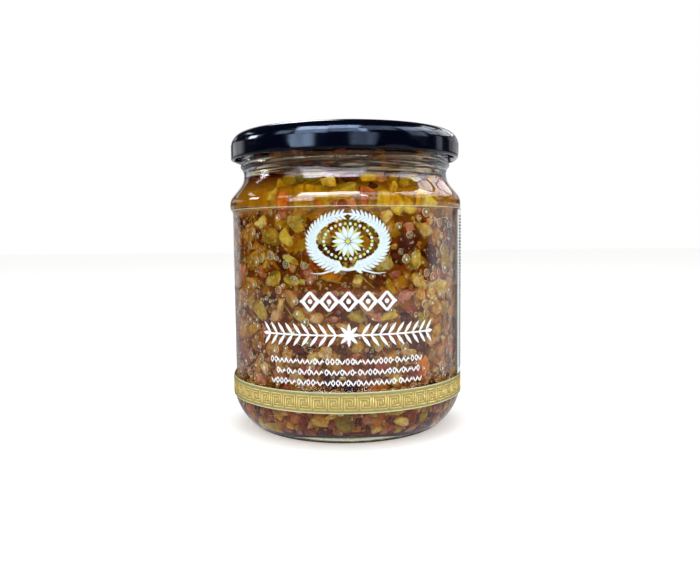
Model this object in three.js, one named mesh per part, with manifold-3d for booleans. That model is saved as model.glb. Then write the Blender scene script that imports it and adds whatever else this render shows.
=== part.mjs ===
// A jar of chopped olive salad: round glass jar, twist-off metal lid, clear wrap-round label
// and the oily salad inside it. Millimetres, +Z up, origin under the centre of the glass base.
// Every piece is turned about the Z axis with the same number of segments, so their flats line up
// and the thin gaps between them stay even. The front of the jar faces -Y.
import * as THREE from 'three';
import { mergeVertices } from 'three/addons/utils/BufferGeometryUtils.js';
import Module from 'manifold-3d';

const segments = 48;

// Driving dimensions of the glass.
const baseRadius = 33.2;        // outside edge of the ring that the jar stands on
const baseRingWidth = 3.4;
const pushUp = 2.0;             // how far the middle of the base is domed upwards
const ringRadius = 43.4;        // heel ring and shoulder ring, the widest glass
const heelHeight = 14.5;
const heelFullness = 1.6;       // exponent of the heel's curve, where 2 would be an ellipse
const panelRadius = 42.45;      // the label panel sits back between the two rings
const heelRingTop = 18.9;
const shoulderRingBottom = 81.8;
const ringStep = 1.4;           // height over which the panel steps out to a ring
const shoulderStart = 84.3;
const neckRadius = 38.1;
const neckHeight = 94.3;        // narrowest point of the neck
const beadRadius = 39.3;
const beadHeight = 97.0;
const beadRound = 1.1;
const finishRadius = 38.9;      // glass behind the threads
const lipHeight = 108.0;
const lipRound = 0.9;
const wall = 2.3;
const neckWall = 2.6;
const floorHeight = 4.6;        // inside floor of the jar, at its edge
const floorRadius = 30.5;
const insideHeelHeight = 16.5;  // where the rounded inside of the heel meets the straight wall

// Threads on the glass, which the lugs of the lid catch under.
const lugCount = 6;
const threadReach = 1.9;
const threadLow = 100.9;
const threadRise = 2.4;
const threadSpan = 44;          // degrees
const threadHalfHeight = 1.0;
const threadZoneBottom = 99.0;
const threadZoneTop = 105.3;

// Driving dimensions of the lid.
const lidRadius = 42.75;
const lidBottom = 99.2;
const lidTop = 109.0;
const plate = 0.45;
const curlRadius = 0.7;
const lugReach = 1.6;
const lugHalfAngle = 12;        // degrees
const lugOffset = -35;          // degrees from the front to the nearest lug
const lidShoulderDrop = 3.4;
const lidRimRadius = 38.2;      // where the rounded shoulder meets the top
const lidRimWidth = 2.2;
const lidPanelDrop = 0.4;
const buttonRadius = 12.5;
const buttonRise = 0.3;

// Driving dimensions of the label and of what fills the jar.
const labelBottom = 12.8;
const labelTop = 81.0;
const labelThickness = 0.2;
const labelGap = 0.08;
const labelSeam = 4.0;
const clearance = 0.3;
const fillHeight = 91.4;
const fillUnevenness = 0.6;
const fillFlatRadius = 33.0;

// Heights at which the wall of the glass is drawn.
const heelHeights = [0.5, 1.6, 3.6, 6.4, 9.6, labelBottom, heelHeight];
const panelHeights = [
  heelRingTop, heelRingTop + ringStep, shoulderRingBottom - ringStep, shoulderRingBottom,
];
const shoulderHeights = [shoulderStart, 85.9, 87.4, 89.2, 91.4, neckHeight];
const insideHeelHeights = [floorHeight, 5.4, 7.6, 11, insideHeelHeight];

const radians = THREE.MathUtils.degToRad;
const smooth = THREE.MathUtils.smoothstep;
const point = (r, z) => new THREE.Vector2(r, z);

// Evenly spaced numbers from low to high, both ends included.
function steps(low, high, count) {
  return Array.from({ length: count + 1 }, (_, i) => low + ((high - low) * i) / count);
}

// Points of an arc in the r-z half plane, with angles in degrees from the r direction.
function arc(r, z, radius, from, to, count) {
  return steps(from, to, count).map((degrees) => {
    const angle = radians(degrees);
    return point(r + radius * Math.cos(angle), z + radius * Math.sin(angle));
  });
}

// Outside radius of the glass from the base to the narrowest point of the neck.
function outerRadius(z) {
  if (z < heelHeight) {
    const down = (heelHeight - z) / heelHeight;
    const share = (1 - down ** heelFullness) ** (1 / heelFullness);
    return baseRadius + (ringRadius - baseRadius) * share;
  }
  if (z <= shoulderStart) {
    const inHeelRing = 1 - smooth(z, heelRingTop, heelRingTop + ringStep);
    const inShoulderRing = smooth(z, shoulderRingBottom - ringStep, shoulderRingBottom);
    return panelRadius + (ringRadius - panelRadius) * Math.max(inHeelRing, inShoulderRing);
  }
  const up = (z - shoulderStart) / (neckHeight - shoulderStart);
  const share = Math.max(0, 1 - up ** 1.5) ** 2.5;
  return neckRadius + (ringRadius - neckRadius) * share;
}

// Inside radius of the glass, from the inside floor to the neck.
function innerRadius(z) {
  const widest = panelRadius - wall;
  if (z < insideHeelHeight) {
    const down = (insideHeelHeight - z) / (insideHeelHeight - floorHeight);
    return floorRadius + (widest - floorRadius) * Math.sqrt(Math.max(0, 1 - down ** 2));
  }
  return z <= shoulderStart ? widest : Math.min(widest, outerRadius(z) - neckWall);
}

// A profile of (r, z) points turned about Z, as a closed geometry whose vertices are shared.
function turned(profile) {
  const lathe = new THREE.LatheGeometry(profile, segments).rotateX(Math.PI / 2);
  lathe.deleteAttribute('normal');
  lathe.deleteAttribute('uv');
  return mergeVertices(lathe, 1e-4);
}

// Moves each vertex of a geometry to the radius that newRadius(r, angle, z) gives.
function reshape(geometry, newRadius) {
  const at = geometry.getAttribute('position');
  for (let i = 0; i < at.count; i += 1) {
    const r = Math.hypot(at.getX(i), at.getY(i));
    if (r > 1e-3) {
      const scale = newRadius(r, Math.atan2(at.getX(i), -at.getY(i)), at.getZ(i)) / r;
      at.setX(i, at.getX(i) * scale);
      at.setY(i, at.getY(i) * scale);
    }
  }
  return geometry;
}

// Degrees from the middle of the nearest lug, for an angle about Z from the front.
function fromNearestLug(angle) {
  const pitch = 360 / lugCount;
  const turn = THREE.MathUtils.radToDeg(angle) - lugOffset;
  return turn - pitch * Math.round(turn / pitch);
}

// The jar: base, heel, label panel, shoulder, neck, bead and threaded finish, hollow to the lip.
function jarGlass() {
  const domeRadius = baseRadius - baseRingWidth;
  const dome = [0, 0.4, 0.75, 1].map((share) => point(domeRadius * share, pushUp * (1 - share ** 2)));
  const outside = [...heelHeights, ...panelHeights, ...shoulderHeights];
  const lipInside = neckRadius - neckWall + lipRound;
  const lipMiddle = lipHeight - lipRound;
  const inside = [...shoulderHeights.slice().reverse(), ...insideHeelHeights.slice().reverse()];
  const profile = [
    ...dome,
    point(baseRadius, 0),
    ...outside.map((z) => point(outerRadius(z), z)),
    ...arc(beadRadius - beadRound, beadHeight, beadRound, -60, 60, 2),
    ...steps(threadZoneBottom, threadZoneTop, 7).map((z) => point(finishRadius, z)),
    ...arc(finishRadius - lipRound, lipMiddle, lipRound, 0, 90, 2),
    ...arc(lipInside, lipMiddle, lipRound, 90, 180, 1),
    ...inside.map((z) => point(innerRadius(z), z)),
    point(floorRadius / 2, floorHeight + pushUp * 0.75),
    point(0, floorHeight + pushUp),
  ];
  return reshape(turned(profile), (r, angle, z) => {
    if (z < threadZoneBottom - 0.1 || z > threadZoneTop + 0.1 || r < finishRadius - 0.1) return r;
    const along = fromNearestLug(angle) / threadSpan;
    const middle = threadLow + threadRise * (along + 0.5);
    const ridge = Math.max(0, 1 - ((z - middle) / threadHalfHeight) ** 2);
    const fadedEnds = 1 - smooth(Math.abs(along), 0.36, 0.5);
    return r + threadReach * ridge * fadedEnds;
  });
}

// The lid: a skirt with a rolled curl pressed in at the lugs, rounded shoulder, rim and button.
function lid() {
  const shoulderLow = lidTop - lidShoulderDrop;
  const panelHeight = lidTop - lidPanelDrop;
  const rimInside = lidRimRadius - lidRimWidth;
  const shoulder = (shrink, count) => steps(0, 90, count).map((degrees) => {
    const across = (lidRadius - lidRimRadius) * Math.cos(radians(degrees)) ** 0.8;
    const up = lidShoulderDrop * Math.sin(radians(degrees));
    return point(lidRimRadius + across - shrink, shoulderLow + up - shrink);
  });
  const underside = [
    point(0, panelHeight + buttonRise - plate),
    point(buttonRadius - 1.5, panelHeight + buttonRise - plate),
    point(buttonRadius, panelHeight - plate),
    point(rimInside - 1, panelHeight - plate),
    point(rimInside - 0.2, lidTop - plate),
    ...shoulder(plate, 3).reverse(),
  ];
  const curl = arc(lidRadius - curlRadius, lidBottom + curlRadius, curlRadius, 100, 360, 7);
  const outside = [
    ...shoulder(0, 4),
    point(rimInside, lidTop),
    point(rimInside - 0.8, panelHeight),
    point(buttonRadius, panelHeight),
    point(buttonRadius - 1.5, panelHeight + buttonRise),
    point(0, panelHeight + buttonRise),
  ];
  const skirtInside = point(lidRadius - plate, lidBottom + 2.4 * curlRadius);
  const profile = [...underside, skirtInside, ...curl, ...outside];
  return reshape(turned(profile), (r, angle, z) => {
    if (z > lidBottom + 2 * curlRadius - 0.1) return r;
    const atLug = 1 - smooth(Math.abs(fromNearestLug(angle)), lugHalfAngle * 0.35, lugHalfAngle);
    const inward = (lidRadius - r) / (2 * curlRadius);
    return r - lugReach * atLug * Math.min(1, inward);
  });
}

// The solid that manifold-3d makes of a closed geometry with shared vertices.
function solidOf(wasm, geometry) {
  return new wasm.Manifold(new wasm.Mesh({
    numProp: 3,
    vertProperties: geometry.getAttribute('position').array,
    triVerts: new Uint32Array(geometry.index.array),
  }));
}

// The wrap-round label: a thin sleeve that follows the glass, open at a seam at the back.
function label(wasm) {
  const heights = [labelBottom, heelHeight, ...panelHeights.slice(0, -1), labelTop];
  const sides = (lift) => heights.map((z) => point(outerRadius(z) + lift, z));
  const profile = [...sides(labelGap + labelThickness), ...sides(labelGap).reverse()];
  const sleeve = turned([...profile, profile[0]]);
  const seam = new THREE.BoxGeometry(labelSeam, 20, 2 * labelTop);
  seam.translate(0, ringRadius, labelTop / 2);
  seam.deleteAttribute('normal');
  seam.deleteAttribute('uv');
  const cut = solidOf(wasm, sleeve).subtract(solidOf(wasm, mergeVertices(seam))).getMesh();
  return new THREE.BufferGeometry()
    .setAttribute('position', new THREE.BufferAttribute(cut.vertProperties, 3))
    .setIndex(new THREE.BufferAttribute(cut.triVerts, 1));
}

// The salad and its oil: all that is inside the glass, up to a slightly uneven level.
function oliveSalad() {
  const heights = [...insideHeelHeights, ...shoulderHeights.slice(0, 4), fillHeight];
  const floor = [0, 0.5].map((share) => point(floorRadius * share, pushUp * (1 - share ** 2)));
  const lifted = floor.map((p) => point(p.x, p.y + floorHeight + clearance));
  const sides = heights.map((z) => point(innerRadius(z) - clearance, Math.max(z, floorHeight + clearance)));
  const top = [1, 0.75, 0.5, 0.25, 0].map((share) => point(fillFlatRadius * share, fillHeight));
  const geometry = turned([...lifted, ...sides, ...top]);
  const at = geometry.getAttribute('position');
  for (let i = 0; i < at.count; i += 1) {
    const x = at.getX(i);
    const y = at.getY(i);
    if (at.getZ(i) > fillHeight - 0.01 && Math.hypot(x, y) < fillFlatRadius - 1) {
      const wave = Math.sin(0.31 * x + 1.3) * Math.cos(0.27 * y) + 0.5 * Math.sin(0.5 * y + 0.4 * x);
      at.setZ(i, fillHeight + fillUnevenness * wave);
    }
  }
  return geometry;
}

function piece(name, geometry, look) {
  geometry.computeVertexNormals();
  const mesh = new THREE.Mesh(geometry, new THREE.MeshStandardMaterial(look));
  mesh.name = name;
  return mesh;
}

const wasm = await Module();
wasm.setup();

const jar = new THREE.Group();
jar.add(
  piece('jar_glass', jarGlass(), {
    color: 0xe6ebe4, roughness: 0.05, metalness: 0, transparent: true, opacity: 0.35,
  }),
  piece('lid', lid(), { color: 0x0a0d14, roughness: 0.22, metalness: 0.2 }),
  piece('label', label(wasm), {
    color: 0xc9ad6a, roughness: 0.3, metalness: 0.1, transparent: true, opacity: 0.4,
  }),
  piece('olive_salad', oliveSalad(), { color: 0x8a5a1e, roughness: 0.4, metalness: 0 }),
);

export default jar;
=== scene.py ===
import math

import bmesh
import bpy
import numpy as np
from mathutils import Matrix, Vector


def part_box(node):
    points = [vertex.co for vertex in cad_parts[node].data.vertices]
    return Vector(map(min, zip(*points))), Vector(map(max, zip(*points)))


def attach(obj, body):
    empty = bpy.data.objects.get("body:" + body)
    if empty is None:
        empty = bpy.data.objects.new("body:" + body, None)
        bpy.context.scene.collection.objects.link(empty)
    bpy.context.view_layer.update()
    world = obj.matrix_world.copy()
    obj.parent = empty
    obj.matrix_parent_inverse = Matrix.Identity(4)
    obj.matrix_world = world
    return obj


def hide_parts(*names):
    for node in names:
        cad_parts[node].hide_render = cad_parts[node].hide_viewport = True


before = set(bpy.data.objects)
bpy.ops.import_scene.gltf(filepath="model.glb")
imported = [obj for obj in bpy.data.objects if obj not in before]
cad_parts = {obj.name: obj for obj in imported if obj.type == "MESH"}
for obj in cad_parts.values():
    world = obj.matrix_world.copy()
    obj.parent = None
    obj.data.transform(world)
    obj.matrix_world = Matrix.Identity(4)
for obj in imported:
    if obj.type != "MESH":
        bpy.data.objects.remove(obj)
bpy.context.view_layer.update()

# A jar of chopped olive salad in oil. Pieces are reckoned in millimetres, and meshPiece turns them into
# metres; the studio and the heights that materials use are in metres.
# The front of the jar faces -Y. An azimuth is counted from the front, positive to the viewer's right.
chance = np.random.default_rng(41)
fullTurn, quarterTurn = 6.28, 1.57
tiny = 1e-6


def corners(node):
    return [np.array(corner) * 1000 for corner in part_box(node)]


glassHigh = corners("jar_glass")[1]
lidLow, lidHigh = corners("lid")
labelLow, labelHigh = corners("label")


# helpers
def linear(colour):
    # sRGB 0-255 to the linear colour that shaders take
    c = np.array(colour[:3]) / 255
    c = np.where(c <= 0.04045, c / 12.92, ((c + 0.055) / 1.055) ** 2.4)
    return (*c.tolist(), 1.0)


def between(first, second, share):
    # a tint between two sRGB colours, as linear red, green and blue
    first, second = (np.array(linear(colour)[:3]) for colour in (first, second))
    return first * (1 - share) + second * share


def smooth(x, low, high):
    t = np.clip((np.asarray(x, float) - low) / (high - low), 0, 1)
    return t * t * (3 - 2 * t)


def around(radius, azimuth, z):
    # a place from its distance to the axis, an azimuth in radians and a height
    return np.stack([radius * np.sin(azimuth), -radius * np.cos(azimuth), z + 0 * radius], axis=-1)


def wallAxes(azimuth):
    # sideways along the wall, up and outwards
    s, c = math.sin(azimuth), math.cos(azimuth)
    return np.array([(c, s, 0), (0, 0, 1), (s, -c, 0)])


def meshPiece(name, points, faces, materials, faceSlots=None, crease=None, tints=None):
    mesh = bpy.data.meshes.new(name)
    mesh.from_pydata((np.asarray(points) * 0.001).tolist(), [], faces)
    mesh.polygons.foreach_set("use_smooth", [True] * len(mesh.polygons))
    if crease is not None:
        mesh.set_sharp_from_angle(angle=math.radians(crease))
    for material in materials:
        mesh.materials.append(material)
    if faceSlots is not None:
        mesh.polygons.foreach_set("material_index", faceSlots)
    if tints is not None:
        layer = mesh.color_attributes.new("pieceTint", "FLOAT_COLOR", "POINT")
        layer.data.foreach_set("color", np.asarray(tints, float).ravel())
    mesh.update()
    piece = bpy.data.objects.new(name, mesh)
    bpy.context.collection.objects.link(piece)
    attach(piece, "root")
    return piece


def turnedMesh(profile, segments, radiusShift=None):
    # a profile of (r, z) going counter-clockwise, turned about Z; ends on the axis become single points
    points, rings, faces = [], [], []
    azimuths = np.arange(segments) * 2 * math.pi / segments
    for r, z in profile:
        start = len(points)
        if r < tiny:
            points.append((0.0, 0.0, z))
            rings.append([start] * segments)
            continue
        radius = np.full(segments, float(r))
        if radiusShift is not None:
            radius = radius + radiusShift(r, z, azimuths)
        points.extend(around(radius, azimuths, z).tolist())
        rings.append(list(range(start, start + segments)))
    if profile[0][0] > tiny:
        rings.append(rings[0])
    for low, high in zip(rings, rings[1:]):
        for j in range(segments):
            k = (j + 1) % segments
            face = [low[j], low[k], high[k], high[j]]
            face = [v for i, v in enumerate(face) if v != face[i - 1]]
            if len(face) > 2:
                faces.append(face)
    return points, faces


def arc(r, z, radius, start, end, count):
    angles = np.radians(np.linspace(start, end, count + 1))
    return [(r + radius * math.cos(a), z + radius * math.sin(a)) for a in angles]


class Nodes:
    # adds nodes to a tree and links them; a node given as an input stands for its first output
    def __init__(self, tree):
        self.nodes, self.links = tree.nodes, tree.links

    def fill(self, node, **inputs):
        # inputs go by name, with _ for a space, or by number as i0, i1 and so on
        for key, value in inputs.items():
            numbered = key[0] == "i" and key[1:].isdigit()
            socket = node.inputs[int(key[1:]) if numbered else key.replace("_", " ")]
            if isinstance(value, bpy.types.Node):
                value = value.outputs[0]
            if isinstance(value, bpy.types.NodeSocket):
                self.links.new(value, socket)
            else:
                socket.default_value = value

    def add(self, kind, settings=None, **inputs):
        node = self.nodes.new("ShaderNode" + kind)
        for key, value in (settings or {}).items():
            setattr(node, key, value)
        self.fill(node, **inputs)
        return node

    def reckon(self, operation, *values):
        inputs = {f"i{k}": value for k, value in enumerate(values)}
        return self.add("Math", {"operation": operation}, **inputs)

    def times(self, first, second):
        return self.reckon("MULTIPLY", first, second)

    def run(self, value, low, high, first, last, kind="LINEAR"):
        # goes from first to last while the value goes from low to high
        settings = {"interpolation_type": kind}
        return self.add("MapRange", settings, Value=value, i1=low, i2=high, i3=first, i4=last)

    def softRun(self, value, low, high, first, last):
        return self.run(value, low, high, first, last, "SMOOTHSTEP")


class Shader(Nodes):
    # the nodes of a new material
    def __init__(self, name):
        self.material = bpy.data.materials.new(name)
        self.material.use_nodes = True
        super().__init__(self.material.node_tree)
        self.nodes.clear()

    def where(self, kind="Object"):
        return self.add("TexCoord").outputs[kind]

    def axes(self, kind="Object"):
        return self.add("SeparateXYZ", Vector=self.where(kind)).outputs

    def noise(self, scale, detail=2.0, roughness=0.5, where=None, distortion=0.0):
        return self.add("TexNoise", Vector=where or self.where(), Scale=scale, Detail=detail,
                        Roughness=roughness, Distortion=distortion)

    def streaks(self, scales, detail, distortion=0.0):
        # noise with a scale of its own along each axis
        stretched = self.add("Mapping", Vector=self.where(), Scale=scales)
        return self.noise(1.0, detail, 0.6, stretched, distortion)

    def ramp(self, factor, stops):
        ramp = self.add("ValToRGB", Fac=factor)
        band = ramp.color_ramp
        while len(band.elements) < len(stops):
            band.elements.new(0.5)
        for element, (place, colour) in zip(band.elements, stops):
            element.position = place
            element.color = colour
        return ramp

    def mottled(self, scale, detail, dark, pale):
        # a colour that wanders between two
        return self.ramp(self.noise(scale, detail), [(0.3, linear(dark)), (0.7, linear(pale))])

    def mix(self, share, first, second):
        return self.add("MixShader", i0=share, i1=first, i2=second)

    def clearInShadow(self, surface, colour=(1, 1, 1, 1)):
        # shadow rays pass through and take this colour
        clear = self.add("BsdfTransparent", Color=colour)
        return self.mix(self.add("LightPath").outputs["Is Shadow Ray"], surface, clear)

    def finish(self, surface, volume=None, lamp=True):
        output = self.add("OutputMaterial", Surface=surface)
        if volume is not None:
            self.fill(output, Volume=volume)
        if not lamp:
            self.material.cycles.emission_sampling = "NONE"
        return self.material


# camera, floor and light
camera = {
    "lens": 36.14,
    "sensor": 36.0,
    "distance": 270.4,
    "height": 71.1,
    "sideways": 1.37,
    "pitchDown": 4.634,
    "roll": -0.628,
    "nearest": 0.01,
}


def placeCamera():
    data = bpy.data.cameras.new("camera")
    data.lens = camera["lens"]
    data.sensor_width = camera["sensor"]
    data.clip_start = camera["nearest"]
    eye = bpy.data.objects.new("camera", data)
    bpy.context.collection.objects.link(eye)
    pitch, roll = math.radians(camera["pitchDown"]), math.radians(camera["roll"])
    ahead = Vector((0, math.cos(pitch), -math.sin(pitch)))
    right = Vector((1, 0, 0))
    up = right.cross(ahead)
    tiltedRight = math.cos(roll) * right + math.sin(roll) * up
    tiltedUp = -math.sin(roll) * right + math.cos(roll) * up
    turn = Matrix((tiltedRight, tiltedUp, -ahead)).transposed().to_4x4()
    place = Vector((camera["sideways"], -camera["distance"], camera["height"])) * 0.001
    eye.matrix_world = Matrix.Translation(place) @ turn
    bpy.context.scene.camera = eye


light = {
    "world": 1.0,
    "worldOnPieces": 0.90,
    "worldInGloss": 0.06,
    "distance": 0.75,
    "middle": 0.08,               # the height that lights and cards face, in metres
    # azimuth, elevation, width, height and radiance
    "windows": [(-42, 24, 0.34, 0.47, 2.3), (34, 24, 0.34, 0.47, 3.2)],
    "overhead": (0, 90, 0.60, 0.60, 2.5),
    "floor": (236, 236, 234),
    "floorGlow": 0.25,
    "floorSize": 6.0,
    # the pale ground that the glass mirrors: its reach and radiance, and how that changes
    "sheen": {"near": 0.036, "far": 0.76, "height": 0.0005, "corners": 64, "radiance": 0.66,
              "toRight": (-0.1, 0.1, 0.65, 1.35), "behind": (-0.03, 0.04),
              "farBehind": (0.07, 0.14, -0.25, 0.05)},
    "cardTint": (246, 246, 250),
    "glossTint": (180, 190, 204),
    "cardNoise": (5.0, 3.0),
    "cardSpread": (0.35, 0.65),
    # soft bright cards that only glass, film and lid mirror: azimuth, half width, lowest and highest
    # elevation in degrees, radiance, soft share of the edges and mottling
    "cards": [
        (-146, 8, 14, 20, 0.8, 0.4, 0.3),
        (-130, 20, 3, 14, 1.2, 0.5, 0.3),
        (-100, 7, 13, 24, 26.0, 0.3, 0.3),
        (-121, 9, 29, 33, 4.0, 0.3, 0.3),
        (-62, 9, 18, 38, 6.0, 0.4, 0.3),
        (-41, 15, 2, 15, 11.0, 0.35, 0.4),
        (-32, 16, 15, 36, 11.0, 0.1, 0.4),
        (-34, 15, 36, 57, 28.0, 0.1, 0.4),
        (18, 15, 3, 16, 3.4, 0.3, 0.5),
        (16, 9, 13, 18, 6.0, 0.4, 0.3),
        (0, 14, 18, 40, 8.0, 0.2, 0.4),
        (0, 12, 40, 62, 21.0, 0.1, 0.4),
        (18, 4, 18, 40, 22.0, 0.3, 0.3),
        (39, 14, 30, 56, 4.2, 0.1, 0.4),
        (75, 11, 10, 30, 3.4, 0.2, 0.4),
        (74, 9.5, 31, 50, 9.0, 0.1, 0.3),
        (100, 10.5, 34, 48, 9.5, 0.1, 0.3),
        (124, 7.5, 37, 48, 5.0, 0.2, 0.3),
        (99, 8, 21, 33, 4.5, 0.1, 0.3),
        (122, 12, 20, 36, 4.2, 0.1, 0.4),
        (145, 8, 18, 32, 3.4, 0.2, 0.3),
        (103, 6, 3, 18, 1.7, 0.5, 0.4),
        (138, 18, 6, 18, 0.8, 0.3, 0.4),
        (-165, 9, 36, 58, 12.0, 0.4, 0.3),
        (-148, 22, -12, 3, 0.62, 0.3, 0.2),
        (124, 41, -12, 3, 1.15, 0.3, 0.2),
        (-167, 12, -8, 30, 0.9, 0.2, 0.2),
        (166, 12, -8, 34, 0.9, 0.2, 0.2),
    ],
    # low lamps that only the gold print shows: place, place they face, width, height and radiance
    "goldLamps": [((-0.137, -0.043, 0.006), (-0.027, -0.034, 0.026), 0.034, 0.011, 70.0),
                  ((0.136, -0.046, 0.006), (0.027, -0.034, 0.026), 0.040, 0.011, 70.0)],
}


def facing(place, target):
    return (Vector(target) - Vector(place)).to_track_quat("-Z", "Y").to_euler()


def turned(azimuth, elevation):
    # where something stands that faces the jar from an azimuth and an elevation in degrees
    a, e = math.radians(azimuth), math.radians(elevation)
    across, middle = light["distance"] * math.cos(e), light["middle"]
    place = Vector((across * math.sin(a), -across * math.cos(a), middle + light["distance"] * math.sin(e)))
    return place, facing(place, (0, 0, middle))


def addLamp(name, place, turn, width, height, radiance, onlyOn=None):
    data = bpy.data.lights.new(name, "AREA")
    data.shape = "RECTANGLE"
    data.size, data.size_y = width, height
    data.energy = radiance * math.pi * width * height
    lamp = bpy.data.objects.new(name, data)
    bpy.context.collection.objects.link(lamp)
    lamp.location, lamp.rotation_euler = place, turn
    lamp.visible_glossy = onlyOn is not None
    if onlyOn is not None:
        lamp.visible_diffuse = lamp.visible_transmission = False
        lamp.light_linking.receiver_collection = onlyOn


def glowMaterial(shader, strength):
    glow = shader.add("Emission", Color=linear(light["cardTint"]), Strength=strength)
    return shader.finish(glow, lamp=False)


def cardMaterial(name, radiance, soft, mottling):
    shader = Shader(name)
    noise = shader.noise(*light["cardNoise"], where=shader.where("Generated"))
    strength = shader.run(noise, *light["cardSpread"], radiance * (1 - mottling), radiance * (1 + mottling))
    for axis in shader.axes("Generated")[:2]:
        outward = shader.reckon("ABSOLUTE", shader.reckon("MULTIPLY_ADD", axis, 2.0, -1.0))
        strength = shader.times(strength, shader.softRun(outward, 1.0 - soft, 1.0, 1.0, 0.0))
    return glowMaterial(shader, strength)


def onlyInGloss(card):
    card.visible_camera = card.visible_diffuse = card.visible_transmission = card.visible_shadow = False
    card.light_linking.receiver_collection = mirrors


def addCard(name, azimuth, halfWidth, low, high, radiance, soft, mottling):
    across, up = (2 * light["distance"] * math.tan(math.radians(a)) for a in (halfWidth, (high - low) / 2))
    bpy.ops.mesh.primitive_plane_add(size=1.0)
    card = bpy.context.object
    card.name = name
    card.location, card.rotation_euler = turned(azimuth, (low + high) / 2)
    card.scale = (across, up, 1)
    card.data.materials.append(cardMaterial(name, radiance, soft, mottling))
    onlyInGloss(card)


def addGroundSheen():
    # the pale ground round the jar as the glass mirrors it
    sheen = light["sheen"]
    far, count = sheen["far"], sheen["corners"]
    turns = np.arange(count) * 2 * math.pi / count
    rings = [around(np.full(count, reach), turns, sheen["height"]) for reach in (sheen["near"], far)]
    faces = [[k, (k + 1) % count, count + (k + 1) % count, count + k] for k in range(count)]
    mesh = bpy.data.meshes.new("groundSheen")
    mesh.from_pydata(np.vstack(rings).tolist(), [], faces)
    shader = Shader("groundSheen")
    away = shader.add("VectorMath", {"operation": "LENGTH"}, Vector=shader.where()).outputs["Value"]
    x, y, _ = shader.axes()
    fade = shader.softRun(away, far * 0.9, far, sheen["radiance"], 0.0)
    uneven = shader.times(fade, shader.run(x, *sheen["toRight"]))
    behind = shader.softRun(y, *sheen["behind"], 0.0, 1.0)
    change = shader.reckon("MULTIPLY_ADD", behind, shader.softRun(away, *sheen["farBehind"]), 1.0)
    mesh.materials.append(glowMaterial(shader, shader.times(uneven, change)))
    ground = bpy.data.objects.new("groundSheen", mesh)
    bpy.context.collection.objects.link(ground)
    onlyInGloss(ground)


def setRoom():
    world = bpy.data.worlds.new("studio")
    bpy.context.scene.world = world
    world.use_nodes = True
    room = Nodes(world.node_tree)
    path = room.add("LightPath").outputs
    # a ray through clear glass counts as glossy too, and has to see the pale room
    reflected = room.add("Math", {"operation": "SUBTRACT", "use_clamp": True},
                         i0=path["Is Glossy Ray"], i1=path["Is Transmission Ray"])
    onPieces = room.add("Mix", Factor=path["Is Diffuse Ray"], A=light["world"], B=light["worldOnPieces"])
    strength = room.add("Mix", Factor=reflected, A=onPieces, B=light["worldInGloss"])
    tint = room.add("Mix", {"data_type": "RGBA"}, Factor=reflected, i6=(1, 1, 1, 1),
                    i7=linear(light["glossTint"]))
    room.fill(world.node_tree.nodes["Background"], Strength=strength, Color=tint.outputs[2])


def addFloor():
    shader = Shader("paleFloor")
    tone = shader.mottled(9.0, 3.0, [c - 3 for c in light["floor"]], light["floor"])
    matt = shader.add("BsdfPrincipled", Base_Color=tone, Roughness=0.9, Specular_IOR_Level=0.1,
                      Emission_Color=(1, 1, 1, 1), Emission_Strength=light["floorGlow"])
    bpy.ops.mesh.primitive_plane_add(size=light["floorSize"], location=(0, 0, 0))
    floor = bpy.context.object
    floor.name = "floor"
    floor.data.materials.append(shader.finish(matt))
    floor.visible_glossy = False    # gloss mirrors the sheen and the cards in its place


def setStudio():
    setRoom()
    for i, window in enumerate(light["windows"] + [light["overhead"]]):
        addLamp(f"window{i}", *turned(*window[:2]), *window[2:])
    for i, (place, target, *size) in enumerate(light["goldLamps"]):
        addLamp(f"goldLamp{i}", place, facing(place, target), *size, goldPieces)
    addGroundSheen()
    for i, card in enumerate(light["cards"]):
        addCard(f"softCard{i}", *card)
    addFloor()
    bpy.context.scene.view_settings.view_transform = "Standard"
    rays = bpy.context.scene.cycles    # light crosses many walls of glass, oil, film and bubbles
    rays.max_bounces = rays.transmission_bounces = 24
    rays.transparent_max_bounces = 32


mirrors = bpy.data.collections.new("mirrors")    # glass, film and lid, which alone catch the cards
goldPieces = bpy.data.collections.new("goldPieces")
placeCamera()
setStudio()
print("camera, floor and light are set")


# glass
glass = {
    "baseRadius": 33.2,
    "baseRingWidth": 3.4,
    "footing": (2.6, 1.2, 0.0),
    "pushUp": 2.0,
    "ringRadius": float(glassHigh[0]),
    "heelHeight": 14.5,
    "heelFullness": 1.6,
    "panelRadius": 42.45,
    "panelRows": (23, 78, 12),
    "ringRows": (17, 82.6),        # one more row in each ring
    "heelRingTop": 18.9,
    "shoulderRingBottom": 81.8,
    "ringStep": 1.8,
    "shoulderStart": 83.4,
    "shoulderBend": (1.9, 3.2),
    "neckRadius": 38.1,
    "neckHeight": 94.3,
    "beadRadius": 39.3,
    "beadHeight": 97.0,
    "beadRound": 1.1,
    "beadArc": (-70, 70, 10),
    "finishRadius": 38.9,
    "finishRows": (98.6, 105.6, 0.25),
    "lipHeight": float(glassHigh[2]),
    "lipRound": 0.9,
    "wall": 2.3,
    "neckWall": 2.6,
    "floorHeight": 4.6,
    "floorRadius": 30.5,
    "insideHeelHeight": 16.5,
    "insideRows": (30, 50, 70),
    "segments": 192,
    "index": 1.5,
    "neckRipples": (0.0895, 0.0915),
    # the glue of the label wets the step above the heel ring, so the glass hardly shines there; this is how
    # strongly it shines at shares of this height, in metres
    "shineHeight": 0.03,
    "shine": [(0.40, 1), (0.45, 0.15), (0.73, 0.15), (0.78, 1)],
}
thread = {"count": 6, "first": -35.0, "span": 44.0, "endsFrom": 0.36, "reach": 1.9, "low": 100.9, "rise": 2.4,
          "halfHeight": 1.0}


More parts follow.
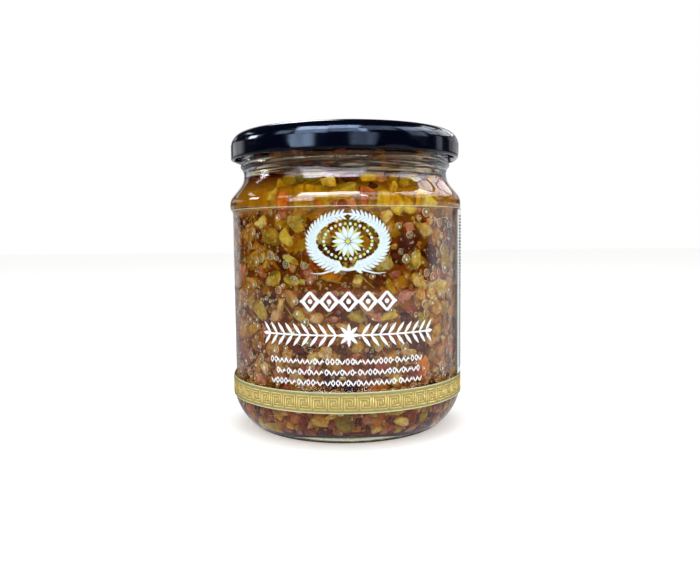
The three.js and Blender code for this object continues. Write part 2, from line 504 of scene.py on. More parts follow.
def outerRadius(z):
    g = glass
    z = np.asarray(z, float)
    down = np.clip((g["heelHeight"] - z) / g["heelHeight"], 0, 1)
    heel = (1 - down ** g["heelFullness"]) ** (1 / g["heelFullness"])
    heelRadius = g["baseRadius"] + (g["ringRadius"] - g["baseRadius"]) * heel
    inHeelRing = 1 - smooth(z, g["heelRingTop"], g["heelRingTop"] + g["ringStep"])
    inShoulderRing = smooth(z, g["shoulderRingBottom"] - g["ringStep"], g["shoulderRingBottom"])
    panel = g["panelRadius"] + (g["ringRadius"] - g["panelRadius"]) * np.maximum(inHeelRing, inShoulderRing)
    up = np.clip((z - g["shoulderStart"]) / (g["neckHeight"] - g["shoulderStart"]), 0, 1)
    gentle, steep = g["shoulderBend"]
    shoulder = g["neckRadius"] + (g["ringRadius"] - g["neckRadius"]) * (1 - up ** gentle) ** steep
    return np.where(z < g["heelHeight"], heelRadius, np.where(z <= g["shoulderStart"], panel, shoulder))


def innerRadius(z):
    g = glass
    z = np.asarray(z, float)
    widest = g["panelRadius"] - g["wall"]
    down = np.clip((g["insideHeelHeight"] - z) / (g["insideHeelHeight"] - g["floorHeight"]), 0, 1)
    heel = g["floorRadius"] + (widest - g["floorRadius"]) * np.sqrt(1 - down ** 2)
    neck = np.minimum(widest, outerRadius(np.minimum(z, g["neckHeight"])) - g["neckWall"])
    return np.where(z < g["insideHeelHeight"], heel, np.where(z <= g["shoulderStart"], widest, neck))


def behindWall(azimuth, z, depth):
    # a place so far behind the inside of the glass
    return around(float(innerRadius(z)) - depth, azimuth, z)


def fromNearest(azimuths, first, count):
    pitch = 360 / count
    turn = np.degrees(azimuths) - first
    return turn - pitch * np.round(turn / pitch)


def threadShift(r, z, azimuths):
    low, high = thread["low"] - 2, thread["low"] + thread["rise"] + 2
    if r < glass["finishRadius"] - 0.1 or not low < z < high:
        return 0 * azimuths
    along = fromNearest(azimuths, thread["first"], thread["count"]) / thread["span"]
    middle = thread["low"] + thread["rise"] * (along + 0.5)
    ridge = np.clip(1 - ((z - middle) / thread["halfHeight"]) ** 2, 0, 1) ** 0.8
    return thread["reach"] * ridge * (1 - smooth(np.abs(along), thread["endsFrom"], 0.5))


def insideProfile(lift, topHeight):
    # the inside wall from the middle of the floor up to a height, moved outwards by lift
    g = glass
    bottom = [(share * g["floorRadius"], g["floorHeight"] + g["pushUp"] * (1 - share ** 2) - lift)
              for share in np.linspace(0, 0.97, 8)]
    turn = np.linspace(0, math.pi / 2, 22)[1:]
    heel = [g["insideHeelHeight"] - (g["insideHeelHeight"] - g["floorHeight"]) * math.cos(a) for a in turn]
    wall = [z for z in (*g["insideRows"], g["shoulderStart"]) if z < topHeight]
    shoulder = [z for z in np.linspace(g["shoulderStart"], g["neckHeight"], 26)[1:] if z < topHeight - 0.05]
    return bottom + [(float(innerRadius(z)) + lift, z) for z in heel + wall + shoulder + [topHeight]]


def clearGlassMaterial():
    shader = Shader("clearGlass")
    height = shader.axes()["Z"]
    even = shader.add("Bump", Strength=0.05, Distance=0.0006, Height=shader.noise(55.0, 1.0))
    inNeck = shader.softRun(height, *glass["neckRipples"], 0.0, 1.0)
    rings = shader.streaks((55.0, 55.0, 1500.0), 3.0)
    bump = shader.add("Bump", Strength=inNeck, Distance=0.00018, Height=rings, Normal=even)
    bent = shader.add("BsdfRefraction", Color=linear((250, 252, 249)), Roughness=0.0, IOR=glass["index"])
    mirror = shader.add("BsdfGlossy", Color=(0.85, 0.85, 0.89, 1), Roughness=0.03, Normal=bump)
    edge = shader.add("Fresnel", IOR=glass["index"], Normal=bump)
    # from inside the wall only a full reflection counts, because oil behind the glass swallows the rest
    full = shader.run(edge, 0.5, 1.0, 0.0, 1.0)
    low = shader.run(height, 0.0, glass["shineHeight"], 0.0, 1.0)
    shine = shader.ramp(low, [(place, (grey, grey, grey, 1)) for place, grey in glass["shine"]])
    share = shader.add("Mix", Factor=shader.add("NewGeometry").outputs["Backfacing"],
                       A=shader.times(edge, shine), B=full)
    passing = shader.clearInShadow(shader.mix(share, bent, mirror), linear((248, 250, 246)))
    return shader.finish(passing, shader.add("VolumeAbsorption", Color=linear((205, 232, 208)), Density=9.0))


def makeGlass():
    g = glass
    domeRadius = g["baseRadius"] - g["baseRingWidth"]
    dome = [(domeRadius * s, g["pushUp"] * (1 - s ** 2)) for s in np.linspace(0, 1, 9)]
    footing = [(g["baseRadius"] - inset, 0.0) for inset in g["footing"]]
    heights = [g["heelHeight"] * (1 - math.cos(a)) for a in np.linspace(0, math.pi / 2, 26)[1:]]
    heights += [g["ringRows"][0], g["heelRingTop"]]
    heights += list(np.linspace(g["heelRingTop"], g["heelRingTop"] + g["ringStep"], 8)[1:])
    heights += list(np.linspace(*g["panelRows"]))
    heights += list(np.linspace(g["shoulderRingBottom"] - g["ringStep"], g["shoulderRingBottom"], 8))
    heights += [g["ringRows"][1]] + list(np.linspace(g["shoulderStart"], g["neckHeight"], 44))
    outside = [(float(outerRadius(z)), z) for z in heights]
    bead = arc(g["beadRadius"] - g["beadRound"], g["beadHeight"], g["beadRound"], *g["beadArc"])
    finishRows = [(g["finishRadius"], z) for z in np.arange(*g["finishRows"])]
    lipInside = g["neckRadius"] - g["neckWall"] + g["lipRound"]
    lipMiddle = g["lipHeight"] - g["lipRound"]
    lip = arc(g["finishRadius"] - g["lipRound"], lipMiddle, g["lipRound"], 0, 90, 6)
    lip += arc(lipInside, lipMiddle, g["lipRound"], 90, 180, 6)
    profile = dome + footing + outside + bead + finishRows + lip + insideProfile(0.0, g["neckHeight"])[::-1]
    points, faces = turnedMesh(profile, g["segments"], threadShift)
    piece = meshPiece("jarOfGlass", points, faces, [clearGlassMaterial()], crease=60)
    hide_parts("jar_glass")
    mirrors.objects.link(piece)


makeGlass()
print("glass is made")


# lid
lid = {
    "radius": float(lidHigh[0]),
    "bottom": float(lidLow[2]),
    "top": float(lidHigh[2]),
    "plate": 0.25,
    "curl": 0.7,
    "lugReach": 1.6,
    "lugHalfAngle": 12.0,
    "lugDip": 0.25,
    "lugTop": (-0.3, 0.6),          # the lugs end between these heights over the curl
    "shoulderDrop": 5.0,
    "rimRadius": 38.2,
    "rimWidth": 2.2,
    "panelDrop": 0.4,
    "insideRows": (104, 102.6),
    "outsideRows": (102.8, 103.6),
    "panelInside": 28.0,
    "ridge": ((28.5, 0), (28.2, 0.06), (27.8, 0.06), (27.5, 0)),
    "buttonRadius": 12.5,
    "buttonRise": 0.3,
    "outside": (1, 2, 11),
    # painted reflection colour: the sheen tints the lid's reflections sky blue
    "sheen": (188, 216, 255),
    "inside": (60, 42, 26),
    "segments": 240,
}


def lacquerMaterial():
    shader = Shader("darkLacquer")
    bump = shader.add("Bump", Strength=0.06, Distance=0.0004, Height=shader.noise(120.0))
    rough = shader.run(shader.noise(900.0, 4.0), 0.3, 0.8, 0.09, 0.15)
    coat = shader.add("BsdfPrincipled", Base_Color=linear(lid["outside"]), Roughness=rough, Normal=bump,
                      Specular_IOR_Level=0.3, Specular_Tint=linear(lid["sheen"]))
    return shader.finish(coat)


def innerLacquerMaterial():
    shader = Shader("innerLacquer")
    tone = shader.mottled(160.0, 3.0, [c * 0.8 for c in lid["inside"]], lid["inside"])
    return shader.finish(shader.add("BsdfPrincipled", Base_Color=tone, Roughness=0.35, Metallic=0.25))


def lidShoulder(shrink, count):
    low = lid["top"] - lid["shoulderDrop"]
    rows = []
    for a in np.radians(np.linspace(0, 90, count + 1)):
        across = (lid["radius"] - lid["rimRadius"]) * max(math.cos(a), 0.0)
        rows.append((lid["rimRadius"] + across - shrink, low + lid["shoulderDrop"] * math.sin(a) - shrink))
    return rows


def lugShift(r, z, azimuths):
    low, high = (lid["bottom"] + 2 * lid["curl"] + end for end in lid["lugTop"])
    if z > high:
        return 0 * azimuths
    aside = np.abs(fromNearest(azimuths, thread["first"], thread["count"]))
    near = 1 - smooth(aside, lid["lugHalfAngle"] * 0.35, lid["lugHalfAngle"])
    inward = min(1.0, (lid["radius"] - r) / (2 * lid["curl"]))
    return -near * (lid["lugReach"] * inward + lid["lugDip"]) * (1 - smooth(z, low, high))


def makeLid():
    radius, bottom, top, panel = lid["radius"], lid["bottom"], lid["top"], lid["top"] - lid["panelDrop"]
    rimInside = lid["rimRadius"] - lid["rimWidth"]
    button, rise, plate, curl = lid["buttonRadius"], lid["buttonRise"], lid["plate"], lid["curl"]
    inside = [(0, panel + rise - plate), (button - 1.5, panel + rise - plate), (button - 0.3, panel - plate),
              (lid["panelInside"], panel - plate), (rimInside - 1, panel - plate),
              (rimInside - 0.2, top - plate)]
    inside += lidShoulder(plate, 14)[::-1]
    inside += [(radius - plate, z) for z in (*lid["insideRows"], bottom + 2.6 * curl)]
    outside = arc(radius - curl, bottom + curl, curl, 95, 360, 18)
    outside += [(radius, z) for z in (bottom + 1.5, bottom + 2.5, *lid["outsideRows"])]
    outside += lidShoulder(0, 18)
    outside += [(rimInside + 0.25, top), (rimInside, top - 0.05), (rimInside - 0.6, panel + 0.05),
                (rimInside - 0.9, panel)]
    outside += [(r, panel + up) for r, up in lid["ridge"]]
    outside += [(button + 0.2, panel), (button, panel + 0.03), (button - 1.3, panel + rise - 0.03),
                (button - 1.6, panel + rise), (6, panel + rise), (0, panel + rise)]
    profile = inside + outside
    points, faces = turnedMesh(profile, lid["segments"], lugShift)
    rowOf = np.repeat(np.arange(len(profile)), [1 if r < tiny else lid["segments"] for r, _ in profile])
    slots = [int(rowOf[face].max() <= len(inside)) for face in faces]
    materials = [lacquerMaterial(), innerLacquerMaterial()]
    piece = meshPiece("twistLid", points, faces, materials, slots, crease=50)
    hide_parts("lid")
    mirrors.objects.link(piece)


makeLid()
print("lid is made")


# oil
oil = {
    "level": 91.9,
    "intoWall": 0.12,
    "meniscus": 0.7,
    "meniscusReach": 0.8,
    "meniscusRows": (0.25, 0.7, 1.3, 2.2, 3.6),
    "absorbs": (0.020, 0.060, 0.420),   # per millimetre, for red, green and blue
    "index": 1.47,
    "segments": 160,
}


def oilMaterial():
    shader = Shader("goldenOil")
    bent = shader.add("BsdfRefraction", Color=(1, 1, 1, 1), Roughness=0.0, IOR=oil["index"])
    density = max(oil["absorbs"]) * 1000
    left = [1 - a * 1000 / density for a in oil["absorbs"]]
    depth = shader.add("VolumeAbsorption", Color=(*left, 1), Density=density)
    return shader.finish(shader.clearInShadow(bent), depth)


def makeOil():
    level, rise = oil["level"], oil["meniscus"]
    sides = insideProfile(oil["intoWall"], level + rise)
    edge = sides[-1][0]
    surface = [(edge - d, level + rise * math.exp(-d / oil["meniscusReach"])) for d in oil["meniscusRows"]]
    surface += [(r, level) for r in (30, 20, 10, 0)]
    points, faces = turnedMesh(sides + surface, oil["segments"])
    piece = meshPiece("goldenOil", points, faces, [oilMaterial()], crease=50)
    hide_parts("olive_salad")


makeOil()
print("oil is made")


# chopped salad
core = {
    "behindGlass": 4.4,
    "behindShoulder": 4.8,
    "low": 6.6,
    "high": 88.0,
    "deeperFrom": (74, 84),
    "bumps": 1.0,
    "segments": 160,
    "colours": [(0.30, (124, 76, 20)), (0.48, (178, 120, 36)), (0.62, (202, 150, 52)), (0.78, (124, 66, 24))],
    "shoulderColour": (178, 142, 84),
    "shoulderFrom": (0.076, 0.083),
    # painted light: the deep salad glows in its own colour, standing in for light that passes through the
    # pieces, and glows more towards the foot
    "glow": 0.26,
    "paintedFootGlow": 0.12,
    "footTo": (0.012, 0.026),
}

# what each kind of piece looks like: how flat it is, how many knife cuts it has, its flesh and skin
# colours, and its share among the pieces in each zone from the top down
kinds = {
    "greenOlive": {"flat": 0.42, "cuts": 2, "flesh": [(172, 138, 50), (208, 174, 88)],
                   "skin": (128, 106, 32), "share": (0.34, 0.22, 0.09, 0.05)},
    "yellowPepper": {"flat": 0.34, "cuts": 3, "flesh": [(224, 180, 66), (242, 208, 116)],
                     "skin": (190, 134, 24), "share": (0.28, 0.17, 0.10, 0.04)},
    "paleVegetable": {"flat": 0.60, "cuts": 4, "flesh": [(226, 176, 110), (246, 210, 152)],
                      "skin": (192, 134, 74), "share": (0.18, 0.20, 0.13, 0.06)},
    "tanVegetable": {"flat": 0.60, "cuts": 4, "flesh": [(216, 150, 108), (238, 190, 152)],
                     "skin": (176, 108, 70), "share": (0.00, 0.05, 0.20, 0.30)},
    "pinkPepper": {"flat": 0.40, "cuts": 4, "flesh": [(168, 84, 76), (206, 138, 128)],
                   "skin": (138, 48, 50), "share": (0.12, 0.20, 0.32, 0.38)},
    "darkOlive": {"flat": 0.55, "cuts": 3, "flesh": [(84, 36, 46), (120, 62, 70)],
                  "skin": (60, 20, 30), "share": (0.07, 0.12, 0.13, 0.14)},
    "orangePiece": {"flat": 0.55, "cuts": 4, "flesh": [(222, 122, 46), (230, 144, 70)],
                    "skin": (204, 84, 20), "share": (0.01, 0.03, 0.03, 0.01)},
    "brownCrumb": {"flat": 0.60, "cuts": 4, "flesh": [(156, 100, 66), (192, 142, 104)],
                   "skin": (130, 76, 46), "share": (0.00, 0.04, 0.06, 0.10)},
}
knife = {"lumpScale": 2.2, "cutAt": (0.30, 0.70), "flatness": 0.88, "fineScales": (4.0, 7.0),
         "fineHeight": 0.030}
# depth and reach set how light goes into the soft flesh; glow is painted light, a faint glow in the flesh's
# own colour that stands in for light scattered through it
flesh = {"speck": (228, 156, 98), "depth": 0.7, "reach": 0.0036, "glow": 0.07, "spread": 0.12, "cloud": 0.16,
         "skinFrom": (0.45, 0.85), "skinned": 0.85}
# lowest and highest place, number of pieces, smallest and largest size, and how far behind the glass they lie
zones = [(79.5, 91.2, 105, (5.4, 10.5), (0.6, 3.6)), (60.0, 80.0, 90, (7.0, 13.0), (0.12, 4.0)),
         (36.0, 60.0, 160, (5.6, 11.4), (0.08, 3.6)), (13.0, 36.0, 210, (4.8, 9.6), (0.05, 2.6)),
         (4.3, 14.0, 170, (3.4, 7.2), (0.04, 1.8))]
heaped = {"tries": 24, "squeeze": 0.74, "tilt": 0.45}
plainOil = {"from": -78.0, "to": -40.0, "low": 80.0}    # where the shoulder is clear of pieces
crumb = {"count": 1050, "size": (1.0, 3.4), "low": 5.2, "high": 80.0, "deep": 3.8, "tries": 5,
         "squeeze": 0.60, "tilt": 0.8, "share": (0.03, 0.04, 0.12, 0.18, 0.32, 0.14, 0.03, 0.14)}
shred = {"count": 420, "length": (3.0, 9.0), "width": (0.25, 0.7), "heights": (8, 84), "deep": 3,
         "tints": ((222, 186, 120), (190, 120, 64))}

# larger pieces seen from the front: kind, azimuth in degrees, height, width, length, lean in degrees and
# gap to the glass
showpieces = [
    ("greenOlive", -31, 88.6, 8.6, 5.0, 5, 0.6),
    ("paleVegetable", -38.5, 84.0, 6.0, 7.0, 12, 0.3),
    ("orangePiece", -31.0, 82.4, 6.0, 5.6, 20, 0.8),
    ("yellowPepper", -18, 85.4, 5.4, 4.4, 0, 3.4),
    ("darkOlive", -13.5, 90.2, 4.6, 2.6, 0, 0.8),
    ("yellowPepper", 12.5, 89.0, 6.6, 5.0, 10, 0.6),
    ("darkOlive", 15, 86.4, 3.2, 3.0, 0, 2.2),
    ("yellowPepper", 20.5, 83.0, 5.4, 6.0, 10, 2.0),
    ("greenOlive", 36, 88.4, 8.4, 5.4, 10, 0.5),
    ("yellowPepper", 26.5, 80.6, 6.4, 5.6, -20, 1.2),
    ("pinkPepper", -3.5, 81.8, 6.4, 4.0, 10, 1.0),
    ("pinkPepper", 3.5, 81.2, 5.4, 4.2, -10, 0.8),
    ("orangePiece", -12, 81.6, 3.6, 3.0, -10, 2.0),
    ("paleVegetable", -7.5, 87.2, 8.0, 4.2, -12, 0.5),
    ("greenOlive", -1, 84.6, 10.0, 4.6, 24, 0.5),
    ("pinkPepper", 9, 85.0, 5.6, 6.2, 4, 0.4),
    ("pinkPepper", 20, 88.4, 4.4, 4.0, 30, 0.8),
    ("paleVegetable", 25, 86.0, 2.8, 6.4, -14, 0.5),
    ("yellowPepper", 43, 83.0, 11.0, 6.0, -6, 0.2),
    ("yellowPepper", 33, 81.0, 8.0, 4.6, -40, 0.8),
    ("greenOlive", -23, 76.7, 8.0, 6.8, 0, 0.2),
    ("pinkPepper", -32, 78.0, 4.2, 5.0, 35, 0.4),
    ("paleVegetable", -44, 76.0, 6.0, 4.4, 10, 0.2),
    ("greenOlive", -38.5, 70.4, 8.6, 6.0, -25, 0.3),
    ("yellowPepper", -29, 70.8, 7.0, 4.4, -50, 0.3),
    ("yellowPepper", -26.5, 63.0, 6.4, 2.6, -30, 0.2),
    ("greenOlive", -37.5, 56.4, 6.6, 5.0, 20, 0.2),
    ("darkOlive", -41.5, 49.3, 5.6, 5.4, 0, 0.2),
    ("tanVegetable", -33, 48.4, 3.8, 6.4, -15, 0.2),
    ("paleVegetable", 42.5, 72.4, 8.0, 6.4, 0, 0.15),
    ("darkOlive", 32, 69.2, 7.4, 9.6, -15, 0.2),
    ("pinkPepper", 31, 73.6, 4.0, 5.0, 30, 0.3),
    ("darkOlive", -8, 66.0, 9.0, 7.0, 0, 0.5),
    ("pinkPepper", -17, 66.0, 5.2, 4.4, 0, 0.2),
    ("greenOlive", 12, 74.0, 6.0, 5.0, 20, 0.4),
    ("paleVegetable", 20, 76.8, 5.6, 4.0, 60, 0.2),
    ("greenOlive", 37, 62.8, 7.6, 6.0, 30, 0.2),
    ("greenOlive", 17.5, 61.4, 9.2, 5.4, -4, 0.2),
    ("pinkPepper", 24, 57.8, 4.8, 3.0, -10, 0.2),
    ("paleVegetable", 39, 55.3, 8.6, 6.6, 10, 0.15),
    ("paleVegetable", 5, 56.0, 6.4, 4.4, 15, 0.2),
    ("tanVegetable", -36, 44.5, 6.0, 4.4, 10, 0.15),
    ("pinkPepper", -43, 37.5, 6.6, 6.4, 20, 0.2),
    ("yellowPepper", -23, 44.8, 5.0, 5.0, 40, 0.3),
    ("tanVegetable", -15, 43.4, 5.2, 4.6, 10, 0.12),
    ("pinkPepper", -6, 43.4, 5.2, 3.2, 15, 0.15),
    ("tanVegetable", -1.5, 41.0, 5.4, 3.8, -25, 0.12),
    ("greenOlive", 5, 44.3, 5.8, 4.0, -20, 0.2),
    ("pinkPepper", 14, 44.0, 4.8, 2.8, 0, 0.15),
    ("yellowPepper", 21, 44.4, 6.0, 4.4, 0, 0.3),
    ("darkOlive", 30.5, 42.6, 7.6, 4.4, 0, 0.5),
    ("pinkPepper", 33, 46.4, 4.6, 3.2, 20, 0.12),
    ("greenOlive", 42, 41.2, 6.2, 6.0, 10, 0.15),
    ("pinkPepper", 0, 36.7, 4.4, 3.6, 0, 0.12),
    ("yellowPepper", 15, 35.5, 5.2, 7.0, 15, 0.4),
    ("tanVegetable", -9, 33.0, 5.2, 4.4, 30, 0.12),
    ("pinkPepper", -13.5, 36.2, 4.8, 3.6, -40, 0.12),
    ("darkOlive", -21.5, 33.6, 7.0, 4.4, 20, 0.4),
    ("pinkPepper", 3, 30.8, 4.8, 3.4, 10, 0.15),
    ("tanVegetable", 32, 31.6, 7.0, 3.4, 0, 0.12),
    ("orangePiece", 42, 25.8, 6.0, 7.0, 10, 0.12),
    ("tanVegetable", -43, 25.6, 5.2, 6.6, 10, 0.15),
    ("greenOlive", -1.5, 9.6, 6.8, 5.6, 0, 0.05),
    ("tanVegetable", -19, 9.2, 4.6, 3.4, 30, 0.15),
    ("pinkPepper", 10, 10.2, 5.2, 4.0, 0, 0.15),
    ("tanVegetable", -38, 10.5, 3.4, 5.0, 20, 0.15),
    ("greenOlive", 25, 12.0, 7.0, 3.4, 0, 0.2),
    ("tanVegetable", 30, 8.6, 6.4, 3.4, 0, 0.2),
    ("tanVegetable", 42, 12.6, 5.0, 4.4, 20, 0.15),
]


def unitBall(subdivisions):
    ball = bmesh.new()
    bmesh.ops.create_icosphere(ball, subdivisions=subdivisions, radius=1.0)
    points = np.array([v.co[:] for v in ball.verts])
    faces = np.array([[v.index for v in f.verts] for f in ball.faces])
    ball.free()
    return points, faces


balls = {n: unitBall(n) for n in (1, 2, 3, 4)}


def turnAbout(axis, angle):
    return np.array(Matrix.Rotation(angle, 3, Vector(axis)))


def waved(points, scale, height):
    way = chance.normal(size=3) * scale
    return points * (1 + height * np.sin(points @ way + chance.uniform(0, fullTurn)))[:, None]


def chopped(points, cuts, lumps=0.14):
    # a lumpy ball with flat knife cuts
    for _ in range(3):
        points = waved(points, knife["lumpScale"], lumps)
    for _ in range(cuts):
        way = chance.normal(size=3) * (1, 1, 0.5)
        way /= np.linalg.norm(way)
        beyond = np.clip(points @ way - chance.uniform(*knife["cutAt"]), 0, None)
        points = points - knife["flatness"] * beyond[:, None] * way
    for scale in knife["fineScales"]:
        points = waved(points, scale, knife["fineHeight"])
    return points


def keepInside(points, gap=0.12):
    # presses what would reach the glass flat against its inside wall and floor
    radius = np.hypot(points[:, 0], points[:, 1])
    limit = innerRadius(np.clip(points[:, 2], glass["floorHeight"] + 0.3, oil["level"])) - gap
    points[:, :2] *= np.where(radius > limit, limit / np.maximum(radius, tiny), 1.0)[:, None]
    share = np.clip(np.hypot(points[:, 0], points[:, 1]) / glass["floorRadius"], 0, 1)
    lowest = glass["floorHeight"] + glass["pushUp"] * (1 - share ** 2) + gap
    points[:, 2] = np.clip(points[:, 2], lowest, oil["level"] - 0.15)
    return points


class Heap:
    # remembers where pieces lie, so that new ones find free room
    def __init__(self):
        self.places = np.zeros((0, 3))
        self.reach = np.zeros(0)

    def free(self, place, reach, squeeze):
        apart = np.linalg.norm(self.places - place, axis=1)
        return bool(np.all(apart > (self.reach + reach) * squeeze))

    def put(self, place, reach):
        self.places = np.vstack([self.places, place])
        self.reach = np.append(self.reach, reach)


class Collected:
    # gathers the points, faces and tints of one kind of piece
    def __init__(self):
        self.points, self.faces, self.tints, self.count = [], [], [], 0

    def take(self, points, faces, tints):
        self.points.append(points)
        self.faces.append(np.asarray(faces) + self.count)
        self.tints.append(np.hstack([tints, np.ones((len(points), 1))]))
        self.count += len(points)

    def make(self, name, material, crease=None):
        faces = np.vstack(self.faces).tolist()
        tints = np.vstack(self.tints)
        piece = meshPiece(name, np.vstack(self.points), faces, [material], crease=crease, tints=tints)
        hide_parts("olive_salad")
        print(name, "triangles", len(faces), flush=True)


heap = Heap()
gathered = {name: Collected() for name in kinds}


def tintsOf(kind, shape):
    # a flesh colour that changes a little over the piece, and a darker skin along one side
    pulp = between(*kind["flesh"], chance.uniform()) * (1 + flesh["spread"] * chance.normal())
    unit = shape / np.maximum(np.linalg.norm(shape, axis=1), tiny)[:, None]
    way = chance.normal(size=3) * (1, 1, 0.3)
    way /= np.linalg.norm(way)
    skinned = smooth(unit @ way, *flesh["skinFrom"])[:, None] * flesh["skinned"]
    cloud = 1 + flesh["cloud"] * np.sin(unit @ (chance.normal(size=3) * 2.5) + chance.uniform(0, fullTurn))
    tints = pulp * (1 - skinned) + np.array(linear(kind["skin"])[:3]) * skinned
    return np.clip(tints * cloud[:, None], 0, 1)


def layPiece(name, azimuth, z, sizes, lean, gap, tilt, level):
    # lays one chopped piece behind the glass with its flat side outwards
    kind = kinds[name]
    ball, faces = balls[level]
    half = np.array([*sizes, min(sizes) * kind["flat"] * chance.uniform(0.8, 1.25)]) / 2
    shape = chopped(ball, kind["cuts"])
    tints = tintsOf(kind, shape)
    points = (shape * half) @ turnAbout((0, 0, 1), lean).T
    points = points @ turnAbout(chance.normal(size=3), tilt * chance.normal()).T
    reach = 0.7 * (half[1] * abs(math.cos(lean)) + half[0] * abs(math.sin(lean)))
    heights = np.clip([z - reach, z, z + reach], glass["floorHeight"] + 1, oil["level"])
    centre = around(float(innerRadius(heights).min()) - gap - half[2], azimuth, z)
    gathered[name].take(keepInside(points @ wallAxes(azimuth) + centre, gap), faces, tints)


def makeShowpieces():
    for name, azimuth, z, width, length, lean, gap in showpieces:
        a, reach = math.radians(azimuth), (width + length) / 4
        layPiece(name, a, z, (width, length), math.radians(lean), gap, 0.06, 4)
        heap.put(behindWall(a, z, reach * 0.4), reach)


def makePieces():
    names = list(kinds)
    for zone, (low, high, count, (small, large), (near, deep)) in enumerate(zones):
        shares = np.array([kinds[name]["share"][min(zone, 3)] for name in names])
        for size in sorted(small + (large - small) * chance.uniform(0, 1, count) ** 1.7, reverse=True):
            name = names[chance.choice(len(names), p=shares / shares.sum())]
            sizes = np.array([1.0, chance.uniform(0.6, 1.0)]) * size
            reach = float(sizes.mean()) / 2
            for _ in range(heaped["tries"]):
                z = chance.uniform(low + reach * 0.4, high - reach * 0.4)
                gap = near + (deep - near) * chance.uniform() ** (1.0 if zone == 0 else 2.0)
                azimuth = chance.uniform(-math.pi, math.pi)
                place = behindWall(azimuth, z, gap + reach * 0.3)
                aside = not plainOil["from"] < math.degrees(azimuth) < plainOil["to"]
                if (aside or z <= plainOil["low"] - reach) and heap.free(place, reach, heaped["squeeze"]):
                    heap.put(place, reach)
                    level = 3 if gap < 2.4 and size > 5.0 else 2
                    layPiece(name, azimuth, z, sizes, chance.uniform(0, math.pi), gap, heaped["tilt"], level)
                    break


def makeCrumbs():
    names = list(kinds)
    low, high = crumb["size"]
    for _ in range(crumb["count"]):
        size = low + (high - low) * chance.uniform() ** 1.4
        for _ in range(crumb["tries"]):
            z = crumb["low"] + (crumb["high"] - crumb["low"]) * chance.uniform() ** 1.9
            gap = 0.15 + crumb["deep"] * chance.uniform() ** 1.4
            azimuth = chance.uniform(-math.pi, math.pi)
            if heap.free(behindWall(azimuth, z, gap + size * 0.3), size / 2, crumb["squeeze"]):
                name = names[chance.choice(len(names), p=crumb["share"])]
                sizes = np.array([1.0, chance.uniform(0.55, 1.0)]) * size
                level = 2 if size > 1.5 else 1
                layPiece(name, azimuth, z, sizes, chance.uniform(0, math.pi), gap, crumb["tilt"], level)
                break


def vegetableMaterial(name):
    shader = Shader(name)
    mottle = shader.noise(620.0, 4.0, 0.65)
    shade = shader.add("VectorMath", {"operation": "SCALE"}, Scale=shader.run(mottle, 0.3, 0.72, 0.56, 1.26),
                       Vector=shader.add("Attribute", {"attribute_name": "pieceTint"}))
    speck = shader.run(shader.noise(1700.0), 0.60, 0.70, 0.0, 0.32)
    tone = shader.add("MixRGB", Fac=speck, Color1=shade, Color2=linear(flesh["speck"]))
    bump = shader.add("Bump", Strength=0.45, Distance=0.0004, Height=mottle)
    # painted light: the flesh also glows faintly in its own colour, standing in for light scattered through
    # it
    # under oil there is hardly any sheen
    body = shader.add("BsdfPrincipled", Base_Color=tone, Roughness=0.42, Specular_IOR_Level=0.02, Normal=bump,
                      Subsurface_Weight=flesh["depth"], Subsurface_Radius=(1.0, 0.6, 0.25),
                      Subsurface_Scale=flesh["reach"], Emission_Color=tone, Emission_Strength=flesh["glow"])
    return shader.finish(body, lamp=False)


def tubeFaces(rows, sides):
    quads = []
    for i in range(0, (rows - 1) * sides, sides):
        for j in range(sides):
            k = (j + 1) % sides
            quads.append([i + j, i + k, i + sides + k, i + sides + j])
    quads = np.array(quads)
    last = (rows - 1) * sides
    tips = [tip for k in range(1, sides - 1) for tip in ([0, k + 1, k], [last, last + k, last + k + 1])]
    return np.vstack([quads[:, [0, 1, 2]], quads[:, [0, 2, 3]], np.array(tips)])


def makeShreds():
    # thin stems and strips of skin among the pieces
    strips = Collected()
    sides, rows = 5, 7
    faces = tubeFaces(rows, sides)
    ring = np.arange(sides) * 2 * math.pi / sides
    along = np.linspace(-0.5, 0.5, rows)
    for _ in range(shred["count"]):
        length, width = chance.uniform(*shred["length"]), chance.uniform(*shred["width"])
        z, azimuth = chance.uniform(*shred["heights"]), chance.uniform(-math.pi, math.pi)
        radius = float(innerRadius(z)) - 0.2 - width - chance.uniform() ** 1.5 * shred["deep"]
        lean, bend = chance.uniform(-1.5, 1.5), chance.uniform(-0.6, 0.6)
        across = along * length * math.cos(lean) + bend * along ** 2 * length
        middle = around(np.full(rows, radius), azimuth + across / radius, z + along * length * math.sin(lean))
        aside, up, outward = wallAxes(azimuth)
        level = math.cos(lean) * up - math.sin(lean) * aside
        thick = width / 2 * (1 - 0.7 * (2 * along) ** 2)
        section = np.cos(ring)[:, None] * outward * 0.5 + np.sin(ring)[:, None] * level
        points = (middle[:, None, :] + thick[:, None, None] * section[None]).reshape(-1, 3)
        tint = between(*shred["tints"], chance.uniform())
        strips.take(keepInside(points), faces, np.tile(tint, (len(points), 1)))
    strips.make("shreds", vegetableMaterial("shredFlesh"))


